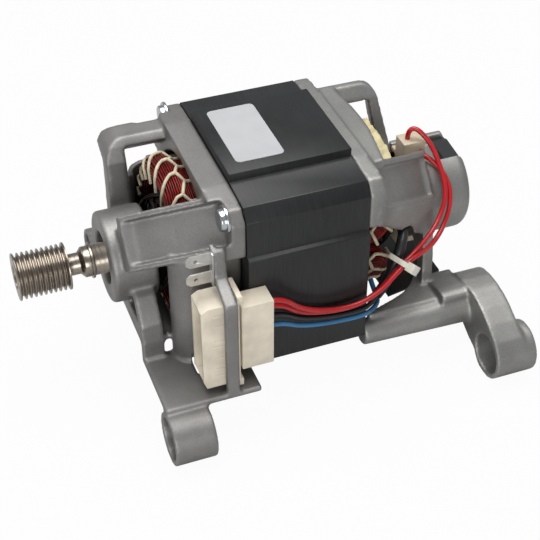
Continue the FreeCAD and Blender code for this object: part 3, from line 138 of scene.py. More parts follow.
# Routes of the leads, in millimetres from the pulley's face and the shaft axis
RED_INNER_ROUTE = ((105, -59, -2), (110.5, -59, -2), (120, -57.2, -11.4), (131, -56.4, -15.8),
                   (142, -56.2, -17.6), (153, -56.2, -16.8), (163, -54.6, -13), (170, -52.2, -8.3),
                   (176.5, -50, -4.3), (184, -46.4, -2.5), (192, -41, -1.6), (200, -35.4, 0.4),
                   (206.2, -30.5, 5.9), (209.4, -27.2, 11.4), (210.6, -22, 18), (210.2, -15.6, 24.4),
                   (209.2, -9.8, 29.8), (206.8, -5.4, 34.2), (203.2, -1.4, 37.6), (200, 0, 35.6),
                   (200, 0, 31.0))
RED_OUTER_ROUTE = ((105, -61.5, 3.5), (110.5, -61.5, 3.5), (120, -59.9, -7), (131, -58.9, -12.6),
                   (142, -58.7, -14.8), (153, -58.5, -14.2), (163, -57.1, -10.4), (170, -54.9, -5.8),
                   (176.5, -52.6, -2.2), (184, -49.6, -1.5), (191, -45.2, -3.4), (198.5, -39.4, -4.6),
                   (205.5, -33.8, -2.4), (210.6, -29.6, 3.8), (213, -25.6, 10.8),
                   (213.2, -20.4, 16.6), (210.8, -14.8, 21.2), (207, -10.4, 24.6), (205.4, -8.4, 25.2),
                   (205.4, -4.9, 25.2))
BLUE_ROUTE = ((105, -59.5, -13), (110.5, -59.5, -13), (121, -57.2, -20.2), (132, -56.4, -23.3),
              (142, -56.2, -24.4), (150, -56.2, -24.8), (157.5, -55.2, -25.1), (163.5, -50.8, -26),
              (167.5, -44.5, -27.6), (168.5, -36.8, -27.7), (168.5, -32.8, -24.7))
BLACK_ROUTE = ((105, -58.5, -8), (110.5, -58.5, -8), (121, -56.6, -16.2), (132, -56, -19.6),
               (142, -56, -21), (150, -56, -21.3), (158, -55.4, -20.8), (163.2, -51.2, -18.7))
SLEEVE_ROUTE = ((163.4, -51, -18.6), (168.2, -48, -17.6), (172.4, -46.6, -11), (175, -46.2, -4),
                (177.6, -44.4, 1), (180.2, -41, 4.2), (182.4, -36.6, 5.2), (183, -32, 5))


def linear(code):
    """Turn an sRGB hex colour into linear numbers."""
    parts = [int(code[start:start + 2], 16) / 255 for start in (0, 2, 4)]
    return tuple(part / 12.92 if part <= 0.04045 else ((part + 0.055) / 1.055) ** 2.4
                 for part in parts)


def colour(code, name, description):
    """Declare a colour that a user would change."""
    return FloatVectorProperty(name=name, description=description, default=linear(code), size=3,
                               min=0, max=1, subtype="COLOR")


def length(millimetres, name, description):
    """Declare a size that a user would change."""
    return FloatProperty(name=name, description=description, default=millimetres * MM, min=0,
                         precision=5, unit="LENGTH", subtype="DISTANCE")


class MotorSizes(bpy.types.PropertyGroup):
    """Sizes of the finished pieces"""
    casting_voxel: length(0.9, "Casting voxel", "Grid that rounds the edges of the castings")
    casting_grit: length(0.5, "Casting grit", "Pits left by shot blasting, drawn coarse enough to show")
    sheet_pitch: length(1.0, "Sheet pitch", "Line to line on the stack, drawn at twice the real sheet")
    enamel_wire: length(0.95, "Enamelled wire", "Thickness of the field coil wire")
    coil_turns: IntProperty(name="Coil turns", description="Turns of a field coil beside each other",
                            default=17, min=3)
    coil_layers: IntProperty(name="Coil layers", description="Layers of a field coil", default=7, min=2)
    lacing_cord: length(1.7, "Lacing cord", "Thickness of the cord round the coil ends")
    lacing_cells: IntProperty(name="Lacing cells", description="Cells of the net over a coil end",
                              default=11, min=4)
    armature_wire: length(0.8, "Armature wire", "Thickness of the armature wire")
    lead: length(2.5, "Lead", "Outside of an insulated lead")
    sleeve: length(5.2, "Sleeve", "Outside of the sleeve over the coil leads")


class MotorColours(bpy.types.PropertyGroup):
    """Colours of the finishes"""
    front_casting: colour("949290", "Front casting", "Blasted aluminium of the front bracket")
    rear_casting: colour("a09f9c", "Rear casting", "Blasted aluminium of the rear bracket")
    steel: colour("a39a8f", "Turned steel", "Pulley and shaft")
    zinc: colour("c9cdd0", "Zinc plating", "Through bolts")
    lacquer: colour("121314", "Stack lacquer", "Lacquer on the stator stack")
    label: colour("b6b7b9", "Label", "Bare label plate")
    coil_enamel: colour("8a120a", "Coil enamel", "Field coil wire")
    armature_enamel: colour("240d0b", "Armature enamel", "Armature wire")
    lacing: colour("dccfb2", "Lacing cord", "Cord round the coil ends")
    copper: colour("b97a52", "Copper", "Commutator bars")
    nylon: colour("e4d9c6", "Connector nylon", "Connector housing and shell")
    tin: colour("cfcdc8", "Tinned brass", "Earth terminal")
    brass: colour("b99a55", "Brass", "Connector contacts")
    red_lead: colour("b3141c", "Red lead", "Leads to the brushes")
    blue_lead: colour("3576a6", "Blue lead", "Lead to the lower coil")
    black_lead: colour("16171a", "Black lead", "Black lead and sleeve")
    tie: colour("d9d6c8", "Cable tie", "Natural nylon tie")
    insulation: colour("dccf9e", "Coil sheet", "Insulating sheet over a coil end")
    holder: colour("cdbfa6", "Brush holder", "Moulded brush holders")
    floor: colour("c4c4c4", "Floor", "Pale floor")


def spot(x, y, z):
    """Turn a place measured on the motor into the frame of the model, in metres."""
    return Vector(((x - PULLEY_TO_MIDDLE) * MM, y * MM, (z + AXIS_HEIGHT) * MM))


def round_spot(x, radius, degrees):
    """Place at a distance along the shaft, a radius and an angle from +Y towards +Z."""
    turn = math.radians(degrees)
    return spot(x, radius * math.cos(turn), radius * math.sin(turn))


def per(millimetres):
    """Scale of a pattern whose features are this large."""
    return 1 / (millimetres * MM)


def add_node(tree, kind, inputs=None, **settings):
    """Add a node with its settings, and set or link its inputs."""
    node = tree.nodes.new(kind)
    for name, setting in settings.items():
        setattr(node, name, setting)
    for name, source in (inputs or {}).items():
        if isinstance(source, bpy.types.NodeSocket):
            tree.links.new(source, node.inputs[name])
        else:
            node.inputs[name].default_value = source
    return node


def start_material(name, base, roughness, metallic=0.0):
    """Start a material on its shader, with the piece's own coordinates."""
    material = bpy.data.materials.new(name)
    material.use_nodes = True
    tree = material.node_tree
    shader = tree.nodes["Principled BSDF"]
    shader.inputs["Base Color"].default_value = (*base, 1)
    shader.inputs["Roughness"].default_value = roughness
    shader.inputs["Metallic"].default_value = metallic
    place = add_node(tree, "ShaderNodeTexCoord").outputs["Object"]
    return material, tree, shader, place


def shaded(base, factor):
    """Darken or lighten a colour for the second tone of a pattern."""
    return (*(min(1, part * factor) for part in base), 1)


def cloudy(tree, shader, place, base, size, factor, detail=3.0):
    """Let a colour drift to a second tone in soft patches of a real size."""
    cloud = add_node(tree, "ShaderNodeTexNoise", {"Vector": place, "Scale": per(size),
                                                  "Detail": detail})
    share = add_node(tree, "ShaderNodeMapRange", {"Value": cloud.outputs["Fac"], "From Min": 0.35,
                                                 "From Max": 0.65})
    mix = add_node(tree, "ShaderNodeMix", {"Factor": share.outputs["Result"], "A": (*base, 1),
                                           "B": shaded(base, factor)}, data_type="RGBA")
    tree.links.new(mix.outputs["Result"], shader.inputs["Base Color"])
    return mix, cloud


def bumped(tree, shader, height, depth):
    """Raise a surface by a pattern to a real depth in millimetres."""
    bump = add_node(tree, "ShaderNodeBump", {"Height": height, "Distance": depth * MM,
                                             "Strength": 1.0})
    tree.links.new(bump.outputs["Normal"], shader.inputs["Normal"])


def cast_aluminium(name, base, grit):
    """Die-cast aluminium, shot-blasted: matt and grainy, with flow patches and rubbed edges."""
    material, tree, shader, place = start_material(name, base, 0.5, 0.85)
    mix, cloud = cloudy(tree, shader, place, base, 22, 0.8)
    grain = add_node(tree, "ShaderNodeTexNoise", {"Vector": place, "Scale": per(grit / MM),
                                                  "Detail": 4.0, "Roughness": 0.7})
    speck = add_node(tree, "ShaderNodeMapRange", {"Value": grain.outputs["Fac"], "From Min": 0.3,
                                                 "From Max": 0.7, "To Min": 0.78, "To Max": 1.16})
    grainy = add_node(tree, "ShaderNodeVectorMath", {0: mix.outputs["Result"],
                                                     1: speck.outputs["Result"]}, operation="MULTIPLY")
    point = add_node(tree, "ShaderNodeNewGeometry").outputs["Pointiness"]
    rubbed = add_node(tree, "ShaderNodeMapRange", {"Value": point, "From Min": 0.52, "From Max": 0.6,
                                                   "To Max": 0.35})
    bright = add_node(tree, "ShaderNodeMix", {"Factor": rubbed.outputs["Result"],
                                              "A": grainy.outputs["Vector"],
                                              "B": shaded(base, 1.6)}, data_type="RGBA")
    tree.links.new(bright.outputs["Result"], shader.inputs["Base Color"])
    rough = add_node(tree, "ShaderNodeMapRange", {"Value": cloud.outputs["Fac"], "To Min": 0.42,
                                                 "To Max": 0.6})
    tree.links.new(rough.outputs["Result"], shader.inputs["Roughness"])
    bumped(tree, shader, grain.outputs["Fac"], 0.07)
    return material


def turned_steel(name, base, pitch=0.35, roughness=0.24):
    """Bright steel turned on a lathe: fine rings round the axis, and a few darker bands."""
    material, tree, shader, place = start_material(name, base, roughness, 1.0)
    rings = add_node(tree, "ShaderNodeTexWave", {"Vector": place, "Scale": per(pitch) / 20,
                                                 "Distortion": 1.5, "Detail": 2.0},
                     wave_type="BANDS", bands_direction="X")
    streaks = add_node(tree, "ShaderNodeMapping", {"Vector": place, "Scale": (1, 0.02, 0.02)})
    cloud = add_node(tree, "ShaderNodeTexNoise", {"Vector": streaks.outputs["Vector"],
                                                  "Scale": per(2.0), "Detail": 4.0})
    rough = add_node(tree, "ShaderNodeMapRange", {"Value": cloud.outputs["Fac"],
                                                  "To Min": roughness * 0.6, "To Max": roughness * 1.7})
    tree.links.new(rough.outputs["Result"], shader.inputs["Roughness"])
    tone = add_node(tree, "ShaderNodeMix", {"Factor": cloud.outputs["Fac"], "A": shaded(base, 0.72),
                                            "B": shaded(base, 1.1)}, data_type="RGBA")
    tree.links.new(tone.outputs["Result"], shader.inputs["Base Color"])
    bumped(tree, shader, rings.outputs["Fac"], 0.01)
    return material


def plated_steel(name, base, roughness=0.25):
    """Zinc-plated or ground steel: bright, with faint milky patches."""
    material, tree, shader, place = start_material(name, base, roughness, 1.0)
    cloud = cloudy(tree, shader, place, base, 4, 0.82)[1]
    rough = add_node(tree, "ShaderNodeMapRange", {"Value": cloud.outputs["Fac"],
                                                  "To Min": roughness * 0.7, "To Max": roughness * 1.6})
    tree.links.new(rough.outputs["Result"], shader.inputs["Roughness"])
    return material


def lacquered_sheets(name, base, pitch):
    """Stack of steel sheets under dark lacquer: satin, with a fine line at each sheet edge."""
    material, tree, shader, place = start_material(name, base, 0.4)
    mix, cloud = cloudy(tree, shader, place, base, 30, 1.5)
    lines = add_node(tree, "ShaderNodeTexWave", {"Vector": place, "Scale": math.pi / (10 * pitch),
                                                 "Distortion": 0.3, "Detail": 3.0,
                                                 "Detail Scale": 2.0},
                     wave_type="BANDS", bands_direction="X")
    runs = add_node(tree, "ShaderNodeMapping", {"Vector": place, "Scale": (1, 0.06, 0.06)})
    streak = add_node(tree, "ShaderNodeTexNoise", {"Vector": runs.outputs["Vector"], "Scale": per(0.7),
                                                   "Detail": 3.0})
    tone = add_node(tree, "ShaderNodeMapRange", {"Value": streak.outputs["Fac"], "From Min": 0.3,
                                                 "From Max": 0.7, "To Min": 0.6, "To Max": 1.5})
    streaky = add_node(tree, "ShaderNodeVectorMath", {0: mix.outputs["Result"],
                                                      1: tone.outputs["Result"]}, operation="MULTIPLY")
    tree.links.new(streaky.outputs["Vector"], shader.inputs["Base Color"])
    rough = add_node(tree, "ShaderNodeMapRange", {"Value": cloud.outputs["Fac"], "To Min": 0.3,
                                                 "To Max": 0.52})
    tree.links.new(rough.outputs["Result"], shader.inputs["Roughness"])
    bumped(tree, shader, lines.outputs["Fac"], 0.012)
    return material


def enamelled_wire(name, base):
    """Copper wire under coloured enamel: deep, glossy, uneven from turn to turn."""
    material, tree, shader, place = start_material(name, base, 0.42, 0.45)
    cloudy(tree, shader, place, base, 2.5, 0.35, 4.0)
    shader.inputs["Coat Weight"].default_value = 0.12
    shader.inputs["Coat Roughness"].default_value = 0.25
    return material


def moulded_plastic(name, base, roughness=0.45, grime=0.8, patch=14, depth=0.02):
    """Moulded thermoplastic: satin skin, slightly yellowed, with grime in soft patches."""
    material, tree, shader, place = start_material(name, base, roughness)
    cloudy(tree, shader, place, base, patch, grime, 5.0)
    fine = add_node(tree, "ShaderNodeTexNoise", {"Vector": place, "Scale": per(0.6), "Detail": 2.0})
    bumped(tree, shader, fine.outputs["Fac"], depth)
    return material


def lead_insulation(name, base, roughness=0.3):
    """Extruded PVC: smooth and glossy, with slight drift of tone."""
    material, tree, shader, place = start_material(name, base, roughness)
    cloudy(tree, shader, place, base, 9, 0.8)
    shader.inputs["Coat Weight"].default_value = 0.25
    shader.inputs["Coat Roughness"].default_value = 0.15
    return material


def lacing_cotton(name, base):
    """Waxed lacing cord: matt cream threads laid side by side, browned in places."""
    material, tree, shader, place = start_material(name, base, 0.75)
    cloudy(tree, shader, place, base, 5, 0.62, 4.0)
    threads = add_node(tree, "ShaderNodeTexNoise", {"Vector": place, "Scale": per(0.25), "Detail": 2.0})
    bumped(tree, shader, threads.outputs["Fac"], 0.08)
    return material


def paper_label(name, base):
    """Coated paper label without print: nearly smooth, faintly creased."""
    material, tree, shader, place = start_material(name, base, 0.42)
    cloudy(tree, shader, place, base, 12, 0.94)
    crease = add_node(tree, "ShaderNodeTexNoise", {"Vector": place, "Scale": per(6), "Detail": 4.0})
    bumped(tree, shader, crease.outputs["Fac"], 0.12)
    return material


def wire_tree():
    """Geometry Nodes that give each line of a mesh a round section and a material."""
    tree = bpy.data.node_groups.new("round_wire", "GeometryNodeTree")
    face = tree.interface
    face.new_socket("Geometry", in_out="INPUT", socket_type="NodeSocketGeometry")
    for name, kind in (("Radius", "NodeSocketFloat"), ("Sides", "NodeSocketInt"),
                       ("Material", "NodeSocketMaterial")):
        face.new_socket(name, in_out="INPUT", socket_type=kind)
    face.new_socket("Geometry", in_out="OUTPUT", socket_type="NodeSocketGeometry")
    given = add_node(tree, "NodeGroupInput").outputs
    lines = add_node(tree, "GeometryNodeMeshToCurve", {"Mesh": given["Geometry"]})
    circle = add_node(tree, "GeometryNodeCurvePrimitiveCircle", {"Resolution": given["Sides"],
                                                                 "Radius": given["Radius"]})
    skin = add_node(tree, "GeometryNodeCurveToMesh", {"Curve": lines.outputs["Curve"],
                                                      "Profile Curve": circle.outputs["Curve"],
                                                      "Fill Caps": True})
    smooth = add_node(tree, "GeometryNodeSetShadeSmooth", {"Geometry": skin.outputs["Mesh"]})
    real = add_node(tree, "GeometryNodeRealizeInstances", {"Geometry": smooth.outputs["Geometry"]})
    dressed = add_node(tree, "GeometryNodeSetMaterial", {"Geometry": real.outputs["Geometry"],
                                                         "Material": given["Material"]})
    add_node(tree, "NodeGroupOutput", {"Geometry": dressed.outputs["Geometry"]})
    return tree


def new_piece(name, mesh, material=None):
    """Link a mesh or curve as a piece at the origin."""
    piece = bpy.data.objects.new(name, mesh)
    bpy.context.scene.collection.objects.link(piece)
    if material:
        piece.data.materials.append(material)
    return piece


def settled(piece):
    """Turn what the modifiers make into a plain mesh, and remove them."""
    graph = bpy.context.evaluated_depsgraph_get()
    mesh = bpy.data.meshes.new_from_object(piece.evaluated_get(graph))
    piece.modifiers.clear()
    piece.data = mesh
    return piece


def wires(name, paths, thickness, material, sides=6, closed=False):
    """Round wires through lists of points, as one mesh."""
    points, edges = [], []
    for path in paths:
        first = len(points)
        points += [tuple(point) for point in path]
        edges += [(first + step, first + step + 1) for step in range(len(path) - 1)]
        if closed:
            edges.append((len(points) - 1, first))
    mesh = bpy.data.meshes.new(name)
    mesh.from_pydata(points, edges, [])
    piece = new_piece(name, mesh)
    tree = bpy.data.node_groups.get("round_wire") or wire_tree()
    modifier = piece.modifiers.new("round_wire", "NODES")
    modifier.node_group = tree
    values = {"Radius": thickness / 2, "Sides": sides, "Material": material}
    for item in tree.interface.items_tree:
        if item.in_out == "INPUT" and item.name in values:
            modifier[item.identifier] = values[item.name]
    return settled(piece)


def merged_copy(node, name):
    """Copy a CAD node and join its loose triangles into closed faces."""
    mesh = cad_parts[node].data.copy()
    shape = bmesh.new()
    shape.from_mesh(mesh)
    same_place = 2e-6  # metres
    bmesh.ops.remove_doubles(shape, verts=shape.verts, dist=same_place)
    shape.to_mesh(mesh)
    shape.free()
    mesh.materials.clear()
    return new_piece(name, mesh)


def soften(piece, width, material, segments=2):
    """Round the edges of a copied CAD piece and shade it smooth between them."""
    shape = bmesh.new()
    shape.from_mesh(piece.data)
    bmesh.ops.dissolve_limit(shape, angle_limit=math.radians(1), verts=shape.verts, edges=shape.edges)
    shape.to_mesh(piece.data)
    shape.free()
    bevel = piece.modifiers.new("edges", "BEVEL")
    bevel.width = width * MM
    bevel.segments = segments
    bevel.limit_method = "ANGLE"
    bevel.angle_limit = math.radians(35)
    settled(piece)
    piece.data.materials.append(material)
    piece.data.shade_smooth()
    piece.data.set_sharp_from_angle(angle=math.radians(32))
    return piece


def dress(nodes, material):
    """Give CAD nodes a finish."""
    for node in nodes:
        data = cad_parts[node].data
        data.materials.clear()
        data.materials.append(material)


def lead_curve(name, route, thickness, material):
    """Smooth lead along a route measured on the motor."""
    curve = bpy.data.curves.new(name, "CURVE")
    curve.dimensions = "3D"
    spline = curve.splines.new("NURBS")
    spline.points.add(len(route) - 1)
    for point, place in zip(spline.points, route):
        point.co = (*spot(*place), 1)
    spline.order_u = 3
    spline.use_endpoint_u = True
    spline.resolution_u = 8
    curve.bevel_depth = thickness / 2
    curve.bevel_resolution = 4
    curve.use_fill_caps = True
    return new_piece(name, curve, material)


class StageOperator(bpy.types.Operator):
    """Build the floor, the lamps, the world and the camera"""
    bl_idname = "motor.stage"
    bl_label = "Stage"

    def execute(self, context):
        scene = context.scene
        scene.view_settings.view_transform = "Standard"
        camera = bpy.data.cameras.new("camera")
        camera.sensor_width = CAMERA_SENSOR
        camera.lens = CAMERA_LENS
        eye = bpy.data.objects.new("camera", camera)
        scene.collection.objects.link(eye)
        eye.location = CAMERA_PLACE
        eye.rotation_euler = (math.radians(90 - CAMERA_DOWN), 0, math.radians(CAMERA_TURN))
        scene.camera = eye

        pale = bpy.data.materials.new("pale_floor")
        pale.use_nodes = True
        tree = pale.node_tree
        tree.nodes.clear()
        white = (*scene.motor_colours.floor, 1)
        matt = add_node(tree, "ShaderNodeBsdfDiffuse", {"Color": white})
        glow = add_node(tree, "ShaderNodeEmission", {"Color": (1, 1, 1, 1), "Strength": 1.0})
        seen = add_node(tree, "ShaderNodeLightPath").outputs["Is Camera Ray"]
        # The camera sees the floor almost white, and the motor mirrors its real tone.
        share = add_node(tree, "ShaderNodeMath", {0: seen, 1: FLOOR_GLOW}, operation="MULTIPLY")
        both = add_node(tree, "ShaderNodeMixShader", {0: share.outputs["Value"],
                                                      1: matt.outputs["BSDF"],
                                                      2: glow.outputs["Emission"]})
        add_node(tree, "ShaderNodeOutputMaterial", {"Surface": both.outputs["Shader"]})
        mesh = bpy.data.meshes.new("floor")
        half = FLOOR_HALF
        mesh.from_pydata([(-half, -half, 0), (half, -half, 0), (half, half, 0), (-half, half, 0)], [],
                         [(0, 1, 2, 3)])
        new_piece("floor", mesh, pale)

        world = bpy.data.worlds.new("studio")
        scene.world = world
        world.use_nodes = True
        tree = world.node_tree
        tree.nodes.clear()
        soft = add_node(tree, "ShaderNodeBackground", {"Color": WORLD_TONE,
                                                       "Strength": WORLD_STRENGTH})
        clear = add_node(tree, "ShaderNodeBackground", {"Color": (1, 1, 1, 1), "Strength": 1.0})
        seen = add_node(tree, "ShaderNodeLightPath").outputs["Is Camera Ray"]
        both = add_node(tree, "ShaderNodeMixShader", {0: seen, 1: soft.outputs["Background"],
                                                      2: clear.outputs["Background"]})
        add_node(tree, "ShaderNodeOutputWorld", {"Surface": both.outputs["Shader"]})

        for name, place, size, power in LAMPS:
            lamp = bpy.data.lights.new(name, "AREA")
            lamp.size = size
            lamp.energy = power
            stand = bpy.data.objects.new(name, lamp)
            scene.collection.objects.link(stand)
            stand.location = place
            aim = Vector(LAMP_AIM) - Vector(place)
            stand.rotation_euler = aim.to_track_quat("-Z", "Y").to_euler()
        return {"FINISHED"}


class LeadsOperator(bpy.types.Operator):
    """Build the leads, the sleeve over the coil leads and the cable tie"""
    bl_idname = "motor.leads"
    bl_label = "Leads"

    def execute(self, context):
        sizes, colours = context.scene.motor_sizes, context.scene.motor_colours
        red = lead_insulation("red_pvc", colours.red_lead)
        blue = lead_insulation("blue_pvc", colours.blue_lead)
        black = lead_insulation("black_pvc", colours.black_lead)
        sleeve = lead_insulation("black_sleeve", colours.black_lead, 0.5)
        rows = (("inner_red_lead", RED_INNER_ROUTE, sizes.lead, red, "red_wire_inner", 0.171),
                ("outer_red_lead", RED_OUTER_ROUTE, sizes.lead, red, "red_wire_outer", 0.161),
                ("blue_lead", BLUE_ROUTE, sizes.lead, blue, "blue_wire", 0.083),
                ("black_lead", BLACK_ROUTE, sizes.lead, black, "black_wire", 0.063),
                ("coil_lead_sleeve", SLEEVE_ROUTE, sizes.sleeve, sleeve, "lead_sleeve", 0.042))
        for name, route, thickness, material, node, span in rows:
            piece = lead_curve(name, route, thickness, material)
            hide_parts(node)
            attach(piece, "root")
        nylon = moulded_plastic("natural_nylon", colours.tie, 0.35, 0.9, 6)
        nylon.node_tree.nodes["Principled BSDF"].inputs["Subsurface Weight"].default_value = 0.2
        nylon.node_tree.nodes["Principled BSDF"].inputs["Subsurface Scale"].default_value = 0.002
        tie = soften(merged_copy("cable_tie", "nylon_tie"), 0.3, nylon)
        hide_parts("cable_tie")
        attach(tie, "root")
        return {"FINISHED"}


class CastingsOperator(bpy.types.Operator):
    """Build both cast brackets with rounded edges"""
    bl_idname = "motor.castings"
    bl_label = "Castings"

    def execute(self, context):
        sizes, colours = context.scene.motor_sizes, context.scene.motor_colours
        for node, base in (("front_bracket", colours.front_casting),
                           ("rear_bracket", colours.rear_casting)):
            piece = merged_copy(node, node + "_casting")
            grid = piece.modifiers.new("grid", "REMESH")
            grid.mode = "VOXEL"
            grid.voxel_size = sizes.casting_voxel
            smooth = piece.modifiers.new("smooth", "SMOOTH")
            smooth.factor = 0.5
            smooth.iterations = 4
            thin = piece.modifiers.new("thin", "DECIMATE")
            thin.ratio = 0.5
            settled(piece)
            piece.data.shade_smooth()
            piece.data.materials.append(cast_aluminium("cast_aluminium_" + node.split("_")[0], base,
                                                       sizes.casting_grit))
            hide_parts(node)
            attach(piece, "root")
        return {"FINISHED"}


class StackOperator(bpy.types.Operator):
    """Finish the stator stack, its slot liners and the bare label"""
    bl_idname = "motor.stack"
    bl_label = "Stator stack"

    def execute(self, context):
        sizes, colours = context.scene.motor_sizes, context.scene.motor_colours
        lacquer = lacquered_sheets("lacquered_sheets", colours.lacquer, sizes.sheet_pitch)
        stack = soften(merged_copy("stator_core", "lacquered_stack"), 0.35, lacquer)
        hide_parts("stator_core")
        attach(stack, "root")
        dress(["label_plate"], paper_label("coated_paper", colours.label))
        dress(["slot_liners"], moulded_plastic("polyester_film", colours.insulation, 0.4))
        return {"FINISHED"}


def coil_section(across, deep):
    """Pull the corners of the bundle's square section in, both shares from -1 to 1."""
    return (across * math.sqrt(1 - SECTION_ROUNDING * deep * deep),
            deep * math.sqrt(1 - SECTION_ROUNDING * across * across))


def swelled(x, radius, degrees):
    """Radius after the front coil end swells between the upper arms, degrees from +Y."""
    lead = min(1, max(0, (SWELL_BEHIND - x) / SWELL_RAMP))
    turn = (degrees + 180) % 360 - 180
    window = (min(1, max(0, (turn - SWELL_FROM) / SWELL_FROM_RAMP))
              * min(1, max(0, (SWELL_TO - turn) / SWELL_TO_RAMP)))
    share = max(0, (radius - COIL_INNER) / (COIL_OUTER - COIL_INNER))
    return radius + SWELL * share * window * lead * lead * (3 - 2 * lead)


def coil_loop(across, deep, wobble):
    """One closed turn of the upper field coil at its place in the section."""
    u, v = coil_section(across, deep)
    half_depth = (COIL_OUTER - COIL_INNER) / 2 - COIL_INSET
    radius = (COIL_OUTER + COIL_INNER) / 2 + v * half_depth + wobble
    share = (u + 1) / 2
    front_run = FRONT_COIL_REACH - FRONT_COIL_GAP - 2 * COIL_INSET
    rear_run = REAR_COIL_REACH - REAR_COIL_GAP - 2 * COIL_INSET
    front = STACK_START - FRONT_COIL_GAP - COIL_INSET - share * front_run
    rear = STACK_END + REAR_COIL_GAP + COIL_INSET + share * rear_run
    bend = INNER_BEND + share * (OUTER_BEND - INNER_BEND)
    low = math.radians(COIL_POLE_ANGLE) - share * COIL_SIDE_WIDTH / radius
    half_width = radius * (math.pi / 2 - low)
    inner = half_width - bend
    # Centres of the four corners, going round the turn from the rear arch
    corners = ((rear - bend, -inner, -1, -1), (rear - bend, inner, -1, 1),
               (front + bend, inner, 1, 1), (front + bend, -inner, 1, -1))
    corner_steps, arch_steps = 5, 26
    path = []
    for index, (centre_x, centre_s, x_side, s_side) in enumerate(corners):
        for step in range(corner_steps + 1):
            turn = math.pi / 2 * step / corner_steps
            along, aside = math.cos(turn), math.sin(turn)
            if index in (0, 2):
                along, aside = aside, along
            path.append((centre_x - x_side * bend * along, centre_s + s_side * bend * aside))
        if index in (0, 2):
            end = corners[index + 1][1]
            path += [(centre_x - x_side * bend, centre_s + (end - centre_s) * step / arch_steps)
                     for step in range(1, arch_steps)]
    return [(x, radius, 90 - math.degrees(s / radius)) for x, s in path]


def coil_skin(along, rear, lift):
    """Place on a coil end's skin, by the way from its corner: back over it, or inwards below 0."""
    quarter = COIL_CORNER * math.pi / 2
    if along >= quarter / 2:
        back, inward = COIL_CORNER + along - quarter / 2, 0
    elif along <= -quarter / 2:
        back, inward = 0, COIL_CORNER - along - quarter / 2
    else:
        turn = (along / quarter + 0.5) * math.pi / 2
        back, inward = COIL_CORNER * (1 - math.cos(turn)), COIL_CORNER * (1 - math.sin(turn))
    x = STACK_END + REAR_COIL_REACH - back if rear else STACK_START - FRONT_COIL_REACH + back
    outwards = lift if rear else -lift
    return (x + outwards * (along < quarter / 2), COIL_OUTER - inward + lift * (along > -quarter / 2))


def lacing_strand(knots, rear, lift):
    """Cord over a coil end through knots of way and angle, curved between them."""
    places = []
    steps = 6
    for one, other in zip(knots, knots[1:]):
        for step in range(steps + (other is knots[-1])):
            share = step / steps
            along = one[0] + (other[0] - one[0]) * share
            x, radius = coil_skin(along, rear, lift)
            places.append((x, radius, one[1] + (other[1] - one[1]) * share))
    return places


